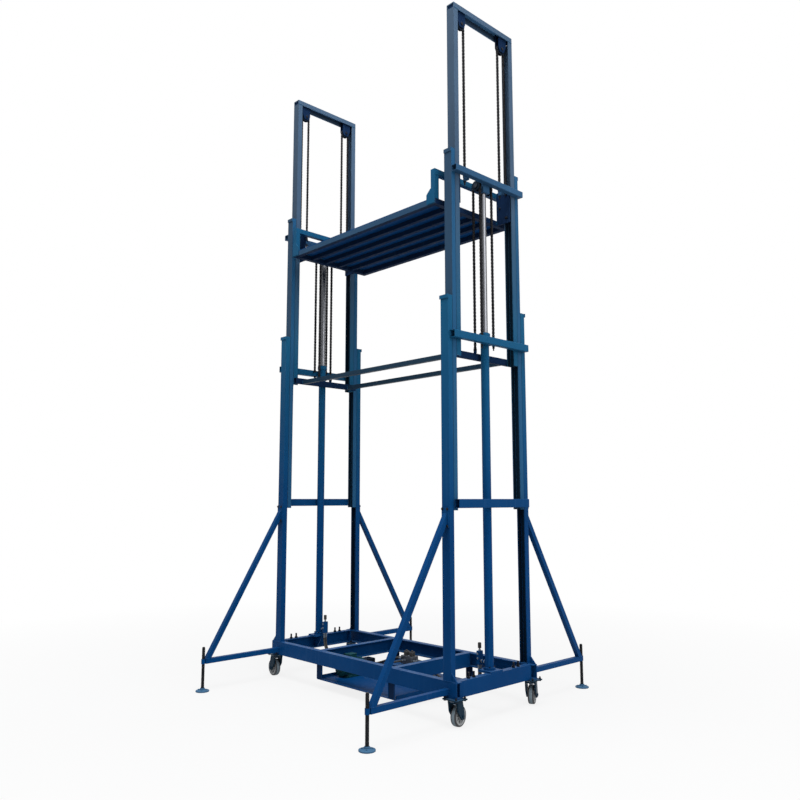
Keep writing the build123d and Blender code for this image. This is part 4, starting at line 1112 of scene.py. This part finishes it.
class LIFT_OT_power_pack(bpy.types.Operator):
    """Details the pump motor, the tank, the manifold and the throttle valves on the tray"""

    bl_idname = "lift.power_pack"
    bl_label = "Power pack"

    def execute(self, context):
        self.motor(context.scene.lift_detail.fin_count)
        self.tank()
        self.valves()
        return {"FINISHED"}

    def motor(self, fins):
        """A finned shell with its fan cover, feet and terminal box."""
        x, y, z = MOTOR_X, MOTOR_FOOT_Y, MOTOR_Z
        bm = bmesh.new()
        shell = [(0, -0.268), (0.050, -0.268), (0.060, -0.262), (0.0615, -0.255), (0.0615, -0.222)]
        shell += [(0.0555, -0.220), (0.0555, -0.072), (0.0600, -0.070), (0.0600, -0.056)]
        shell += [(0.045, -0.051), (0, -0.051)]
        lathe(bm, shell, (x, 0, z), ALONG_Y, steps=64)
        for k in range(fins):
            a = 2 * math.pi * k / fins
            turn = Matrix.Rotation(a, 3, "Y")
            middle = Vector((x, -0.146, z)) + turn @ Vector((0, 0, 0.0575))
            block(bm, (0.0022, 0.146, 0.007), middle, 0.0005, turn.to_quaternion())
        block(bm, (0.100, 0.150, 0.012), (x, y, TRAY_TOP + 0.006), 0.003)
        for end in SIDES:
            block(bm, (0.016, 0.140, 0.040), (x + end * 0.036, y, TRAY_TOP + 0.026), 0.003)
        block(bm, (0.060, 0.080, 0.034), (x, y, 0.212), 0.003)
        block(bm, (0.064, 0.084, 0.010), (x, y, 0.234), 0.003)
        made = piece("pump_motor_shell", bm, finish_named("green_enamel"), "base")
        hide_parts("pump_motor")
        small = bmesh.new()
        for ex, ey in CORNERS:
            bolt(small, (x + ex * 0.026, y + ey * 0.036, 0.2385), UP, 0.006)
            bolt(small, (x + ex * 0.044, y + ey * 0.062, TRAY_TOP + 0.012), UP, 0.012)
        vents, vent_ring = 8, 0.030
        for k in range(vents):
            a = 2 * math.pi * k / vents
            vent = Vector((x + vent_ring * math.cos(a), -0.2682, z + vent_ring * math.sin(a)))
            turn = Matrix.Rotation(math.pi / 2 - a, 3, "Y")
            block(small, (0.006, 0.001, 0.018), vent, 0.0004, turn.to_quaternion())
        piece("pump_motor_bolts", small, finish_named("black_bolt"), "base")

    def tank(self):
        """The lid's bolts, the drain plug, the filler cap and the level gauge."""
        low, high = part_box("oil_tank")
        filler_height = 0.024
        lid = high.z - filler_height
        small = bmesh.new()
        for ex in (0.06, 0.5, 0.94):
            for ey in (0.07, 0.93):
                at = (low.x + (high.x - low.x) * ex, low.y + (high.y - low.y) * ey, lid)
                bolt(small, at, UP, 0.010)
        drain = (0.130, low.y, 0.086)
        hexagon(small, drain, FORWARD, across=0.020, height=0.010)
        piece("tank_bolts", small, finish_named("zinc_plate"), "base")
        cap = bmesh.new()
        rim = [(0.0226, 0.001, 0), (0.0232, 0.004, 1), (0.0232, 0.021, 1)]
        rim += [(0.0215, 0.0255, 0.6), (0.012, 0.0265, 0)]
        fluted(cap, rim, (0.120, 0.250, lid), lobes=12, depth=0.05)
        gauge = (0.060, low.y - 0.001, 0.118)
        block(cap, (0.014, 0.003, 0.060), gauge, 0.001)
        piece("tank_cap", cap, finish_named("black_plastic"), "base")

    def valves(self):
        """The manifold's coils and plugs, and the throttle valves' knobs, stems and plugs."""
        coil_core, coil_height = 0.031, 0.032
        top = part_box("manifold")[1].z - coil_core
        coil = bmesh.new()
        nub = [(0, 0), (0.008, 0), (0.008, 0.008), (0, 0.010)]
        for x in (-0.030, 0.030):
            block(coil, (0.034, 0.034, coil_height), (x, MANIFOLD_Y, top + coil_height / 2), 0.004)
            lathe(coil, nub, (x, MANIFOLD_Y, top + coil_height), UP, steps=24)
        rim = [(0.0105, 0.0165, 0), (0.0124, 0.019, 1), (0.0124, 0.048, 1)]
        rim += [(0.0115, 0.053, 0.7), (0.006, 0.0542, 0)]
        for sx in SIDES:
            fluted(coil, rim, (sx * VALVE_X, 0, VALVE_TOP), lobes=8, depth=0.14)
        made = piece("valve_caps", coil, finish_named("black_plastic"), "base")
        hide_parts("valve_knobs")
        plugs = bmesh.new()
        for y in (0.136, 0.184):
            hexagon(plugs, (0.020, y, top), UP, across=0.014, height=0.006)
        stem = [(0, 0), (0.0085, 0), (0.0085, 0.008), (0.005, 0.010), (0.005, 0.020), (0, 0.020)]
        union_z = 0.335
        for sx in SIDES:
            lathe(plugs, stem, (sx * VALVE_X, 0, VALVE_TOP), UP, steps=24)
            for z in (0.352, 0.382):
                hexagon(plugs, (sx * VALVE_X, -0.020, z), FORWARD, across=0.013, height=0.005)
            for x, out in ((0.862, sx), (0.896, -sx)):
                hexagon(plugs, (sx * x, 0, union_z), (out, 0, 0), across=0.019, height=0.010)
        piece("hydraulic_plugs", plugs, finish_named("zinc_plate"), "base")


class LIFT_OT_hoses(bpy.types.Operator):
    """Crimps fittings on the ends of the hoses"""

    bl_idname = "lift.hoses"
    bl_label = "Hose fittings"

    def execute(self, context):
        bm = bmesh.new()
        for sx in SIDES:
            for y in SIDES:
                self.crimp(bm, (sx * VALVE_X, y * 0.009, 0.310), DOWN)
            for y in (0.142, 0.178):
                self.crimp(bm, (sx * 0.060, y, MANIFOLD_PORT_Z), (sx, 0, 0))
        self.crimp(bm, (-0.285, 0.025, MOTOR_Z), ALONG_X)
        self.crimp(bm, (-0.010, 0.1225, MANIFOLD_PORT_Z), FORWARD)
        piece("hose_ends", bm, finish_named("zinc_plate"), "base")
        return {"FINISHED"}

    def crimp(self, bm, at, axis):
        """A hexagon fitting and the crimped sleeve behind it."""
        nut_height = 0.010
        hose_r, sleeve_r = 0.0069, 0.0084
        hexagon(bm, at, axis, 0.0165, nut_height)
        start = Vector(at) + Vector(axis) * nut_height
        sleeve = [(hose_r, 0.0), (sleeve_r, 0.0), (sleeve_r, 0.006), (0.0079, 0.008), (sleeve_r, 0.010)]
        sleeve += [(sleeve_r, 0.024), (0.0078, 0.027), (hose_r, 0.027), (hose_r, 0.0)]
        lathe(bm, sleeve, start, axis, steps=24)


class LIFT_OT_welds(bpy.types.Operator):
    """Runs weld beads along the joins of each stage"""

    bl_idname = "lift.welds"
    bl_label = "Welds"

    def execute(self, context):
        size = context.scene.lift_detail.weld_size
        for name, body, lines in (
            ("base_welds", "base", self.base_lines()),
            ("mid_welds", "mid_stage", self.mid_lines()),
            ("inner_welds", "inner_stage", self.inner_lines()),
            ("platform_welds", "platform", self.platform_lines()),
        ):
            bm = bmesh.new()
            for start, end in lines:
                for sx, sy in CORNERS:
                    flip = Vector((sx, sy, 1))
                    bead(bm, Vector(start) * flip, Vector(end) * flip, size)
            piece(name, bm, finish_named("blue_enamel"), body, smooth=60)
        return {"FINISHED"}

    def base_lines(self):
        """Post feet, gussets, cylinder seats, rails, crossbeam ends, brace plates, outriggers and straps."""
        flange_y, gusset_y, rail_y = 0.371, 0.408, 0.366
        lines = [
            ((POST_NEAR, OUTER_FACE, RAIL_TOP), (POST_FAR, OUTER_FACE, RAIL_TOP)),
            ((POST_NEAR, OUTER_FACE, RAIL_TOP), (POST_NEAR, flange_y, RAIL_TOP)),
            ((POST_FAR, OUTER_FACE, RAIL_TOP), (POST_FAR, flange_y, RAIL_TOP)),
            ((POST_FAR, gusset_y, RAIL_TOP), (1.012, gusset_y, RAIL_TOP)),
            ((POST_FAR, gusset_y, RAIL_TOP), (POST_FAR, gusset_y, 0.328)),
            ((0.884, 0.060, RAIL_TOP), (0.999, 0.060, RAIL_TOP)),
        ]
        for x in (0.999, 0.434):
            lines.append(((x, rail_y, RAIL_LOW), (x, rail_y, RAIL_TOP)))
        for z in (2.4975, 2.5315):
            lines.append(((0.969, 0.374, z), (0.969, 0.397, z)))
        for x in (0.904, 0.964):
            lines.append(((x, OUTER_FACE, 1.238), (x, OUTER_FACE, 1.364)))
        tube_near, tube_far = 0.9165, 0.9515
        tube_low, tube_top = 0.1985, 0.2335
        for x in (tube_near, tube_far):
            lines.append(((x, 1.0247, tube_top), (x, 1.0650, tube_top)))
            lines.append(((x, OUTER_FACE, tube_low), (x, OUTER_FACE, tube_top)))
        for y in (1.0247, 1.0640):
            lines.append(((tube_near, y, tube_top), (tube_far, y, tube_top)))
        for z in (tube_low, tube_top):
            lines.append(((tube_near, OUTER_FACE, z), (tube_far, OUTER_FACE, z)))
        for x in (0.370, 0.430):
            lines.append(((x, 0.400, 0.073), (x, 0.400, 0.177)))
        return lines

    def mid_lines(self):
        """Crossbeam ends, rod heads and chain lugs."""
        lines = []
        for z in (3.6605, 3.7045, 1.3695, 1.4115):
            lines.append(((0.969, 0.336, z), (0.969, 0.364, z)))
        lines.append(((0.970, 0.034, 3.661), (0.970, 0.034, 3.704)))
        for y in (0.185, 0.201):
            lines.append(((0.970, y, 3.662), (0.970, y, 3.680)))
        return lines

    def inner_lines(self):
        """Top beam corners, tie bar ends, sheave brackets and bottom beam ends."""
        lines = []
        for x in (POST_FAR, POST_NEAR):
            lines.append(((x, 0.286, 4.904), (x, 0.328, 4.904)))
        for y in (0.2285, 0.2615):
            lines.append(((0.866, y, 2.3895), (0.866, y, 2.4205)))
        for x in (0.915, 0.953):
            lines.append(((x, 0.192, 4.936), (x, 0.274, 4.936)))
        for z in (2.400, 2.430):
            lines.append(((0.898, 0.290, z), (0.898, 0.325, z)))
        return lines

    def platform_lines(self):
        """Uprights on the deck and the top bars, carriage plates and the deck frame's ends."""
        upright_x, upright_y = 0.840, 0.360
        lines = []
        for z in (3.500, 3.675):
            lines.append(((0.800, upright_y, z), (upright_x, upright_y, z)))
            lines.append(((upright_x, upright_y, z), (upright_x, 0.400, z)))
        for y in (0.270, 0.280):
            for low, high in ((3.464, 3.498), (3.677, 3.713)):
                lines.append(((upright_x, y, low), (upright_x, y, high)))
        lines.append(((0.762, 0.400, 3.466), (0.836, 0.400, 3.466)))
        lines.append(((0.799, 0.0, 3.5005), (0.799, 0.396, 3.5005)))
        return lines


class LIFT_OT_fasteners(bpy.types.Operator):
    """Adds the bolts of the brace plates, cylinders and carriages, the gland rings and dark plates in the top
    beams' ends that stand in for shade
    """

    bl_idname = "lift.fasteners"
    bl_label = "Fasteners"

    def execute(self, context):
        base, carriage, seal, plates = bmesh.new(), bmesh.new(), bmesh.new(), bmesh.new()
        brace_plate_y, carriage_y = 0.422, 0.270
        foot_top, foot_ring = 0.306, 0.0345
        wiper_r = 0.0229
        wiper = [(wiper_r, 0), (0.0285, 0), (0.0275, 0.003), (0.0240, 0.0042), (wiper_r, 0.003), (wiper_r, 0)]
        for sx, sy in CORNERS:
            # Painted shade: dark plates inside the top beams' ends, where there is only shade.
            block(plates, (0.0595, 0.003, 0.035), (sx * MAST_X, sy * 0.3190, 4.9202), 0.0005)
            for x in SIDES:
                for z in (1.246, 1.356):
                    bolt(base, (sx * MAST_X + x * 0.022, sy * brace_plate_y, z), (0, sy, 0), 0.013)
            for z in (3.500, 3.680):
                bolt(carriage, (sx * MAST_X, sy * carriage_y, z), (0, -sy, 0), 0.017)
            bolt(carriage, (sx * 0.870, sy * carriage_y, 3.588), (0, -sy, 0), 0.013)
        for sx in SIDES:
            for k in range(4):
                a = math.radians(45 + 90 * k)
                at = (sx * MAST_X + foot_ring * math.cos(a), foot_ring * math.sin(a), foot_top)
                bolt(base, at, UP, 0.009)
            for y in SIDES:
                bolt(base, (sx * MAST_X, y * 0.0315, GLAND_TOP), UP, 0.010)
            lathe(seal, wiper, (sx * MAST_X, 0, GLAND_TOP - 0.0002), UP, steps=48)
        piece("frame_bolt_heads", base, finish_named("black_bolt"), "base")
        piece("carriage_bolts", carriage, finish_named("black_bolt"), "platform")
        piece("gland_wipers", seal, finish_named("seal_rubber"), "base")
        # The dark plates in the beam ends stand in for shade.
        piece("beam_end_shade_plates", plates, finish_named("shade_navy_enamel"), "inner_stage")
        return {"FINISHED"}


class LIFT_OT_deck(bpy.types.Operator):
    """Rolls the raised tread bars on top of the deck plate"""

    bl_idname = "lift.deck"
    bl_label = "Deck tread"

    def execute(self, context):
        detail = context.scene.lift_detail
        low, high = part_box("deck_plate")
        pitch = detail.tread_pitch
        margins = 0.02
        bm = bmesh.new()
        columns = int((high.x - low.x - margins) / pitch)
        rows = int((high.y - low.y - margins) / pitch)
        start_x = (low.x + high.x) / 2 - (columns - 1) * pitch / 2
        start_y = (low.y + high.y) / 2 - (rows - 1) * pitch / 2
        for i in range(columns):
            for j in range(rows):
                lean = math.radians(45 if (i + j) % 2 else -45)
                self.lozenge(bm, start_x + i * pitch, start_y + j * pitch, lean, pitch, detail.tread_height)
        piece("deck_tread", bm, finish_named("deck_enamel"), "platform", smooth=60)
        return {"FINISHED"}

    def lozenge(self, bm, x, y, lean, pitch, height):
        """One raised bar, long and pointed, on the deck."""
        ahead = Vector((math.cos(lean), math.sin(lean), 0))
        side = Vector((-ahead.y, ahead.x, 0))
        at = Vector((x, y, DECK_TOP))
        half, wide = pitch * 0.42, pitch * 0.105
        foot = [ahead * half, ahead * half * 0.5 + side * wide, side * wide * 1.15 - ahead * half * 0.5]
        foot += [-ahead * half, -ahead * half * 0.5 - side * wide, ahead * half * 0.5 - side * wide * 1.15]
        low = [bm.verts.new(at + p) for p in foot]
        top = [bm.verts.new(at + p * 0.62 + Vector((0, 0, height))) for p in foot]
        bm.faces.new(top)
        for k in range(6):
            n = (k + 1) % 6
            bm.faces.new((low[k], low[n], top[n], top[k]))


class LIFT_PT_panel(bpy.types.Panel):
    """Lists the lift's steps and their settings"""

    bl_label = "Cargo lift"
    bl_idname = "LIFT_PT_panel"
    bl_space_type = "VIEW_3D"
    bl_region_type = "UI"
    bl_category = "Cargo lift"

    def draw(self, context):
        for group in (context.scene.lift_finish, context.scene.lift_detail, context.scene.lift_stage):
            box = self.layout.box()
            for key in group.__annotations__:
                box.prop(group, key)
        for operator in OPERATORS:
            self.layout.operator(operator.bl_idname)


GROUPS = (LiftFinish, LiftDetail, LiftStage)
OPERATORS = (
    LIFT_OT_stage,
    LIFT_OT_finish,
    LIFT_OT_chains,
    LIFT_OT_anchors,
    LIFT_OT_wheels,
    LIFT_OT_jacks,
    LIFT_OT_power_pack,
    LIFT_OT_hoses,
    LIFT_OT_welds,
    LIFT_OT_fasteners,
    LIFT_OT_deck,
)


def register():
    for made in (*GROUPS, *OPERATORS, LIFT_PT_panel):
        bpy.utils.register_class(made)
    bpy.types.Scene.lift_finish = PointerProperty(type=LiftFinish)
    bpy.types.Scene.lift_detail = PointerProperty(type=LiftDetail)
    bpy.types.Scene.lift_stage = PointerProperty(type=LiftStage)


def unregister():
    del bpy.types.Scene.lift_stage
    del bpy.types.Scene.lift_detail
    del bpy.types.Scene.lift_finish
    for made in reversed((*GROUPS, *OPERATORS, LIFT_PT_panel)):
        bpy.utils.unregister_class(made)


def main():
    register()
    bpy.ops.lift.stage()
    bpy.ops.lift.finish()
    bpy.ops.lift.chains()
    bpy.ops.lift.anchors()
    bpy.ops.lift.wheels()
    bpy.ops.lift.jacks()
    bpy.ops.lift.power_pack()
    bpy.ops.lift.hoses()
    bpy.ops.lift.welds()
    bpy.ops.lift.fasteners()
    bpy.ops.lift.deck()


if __name__ == "__main__":
    main()
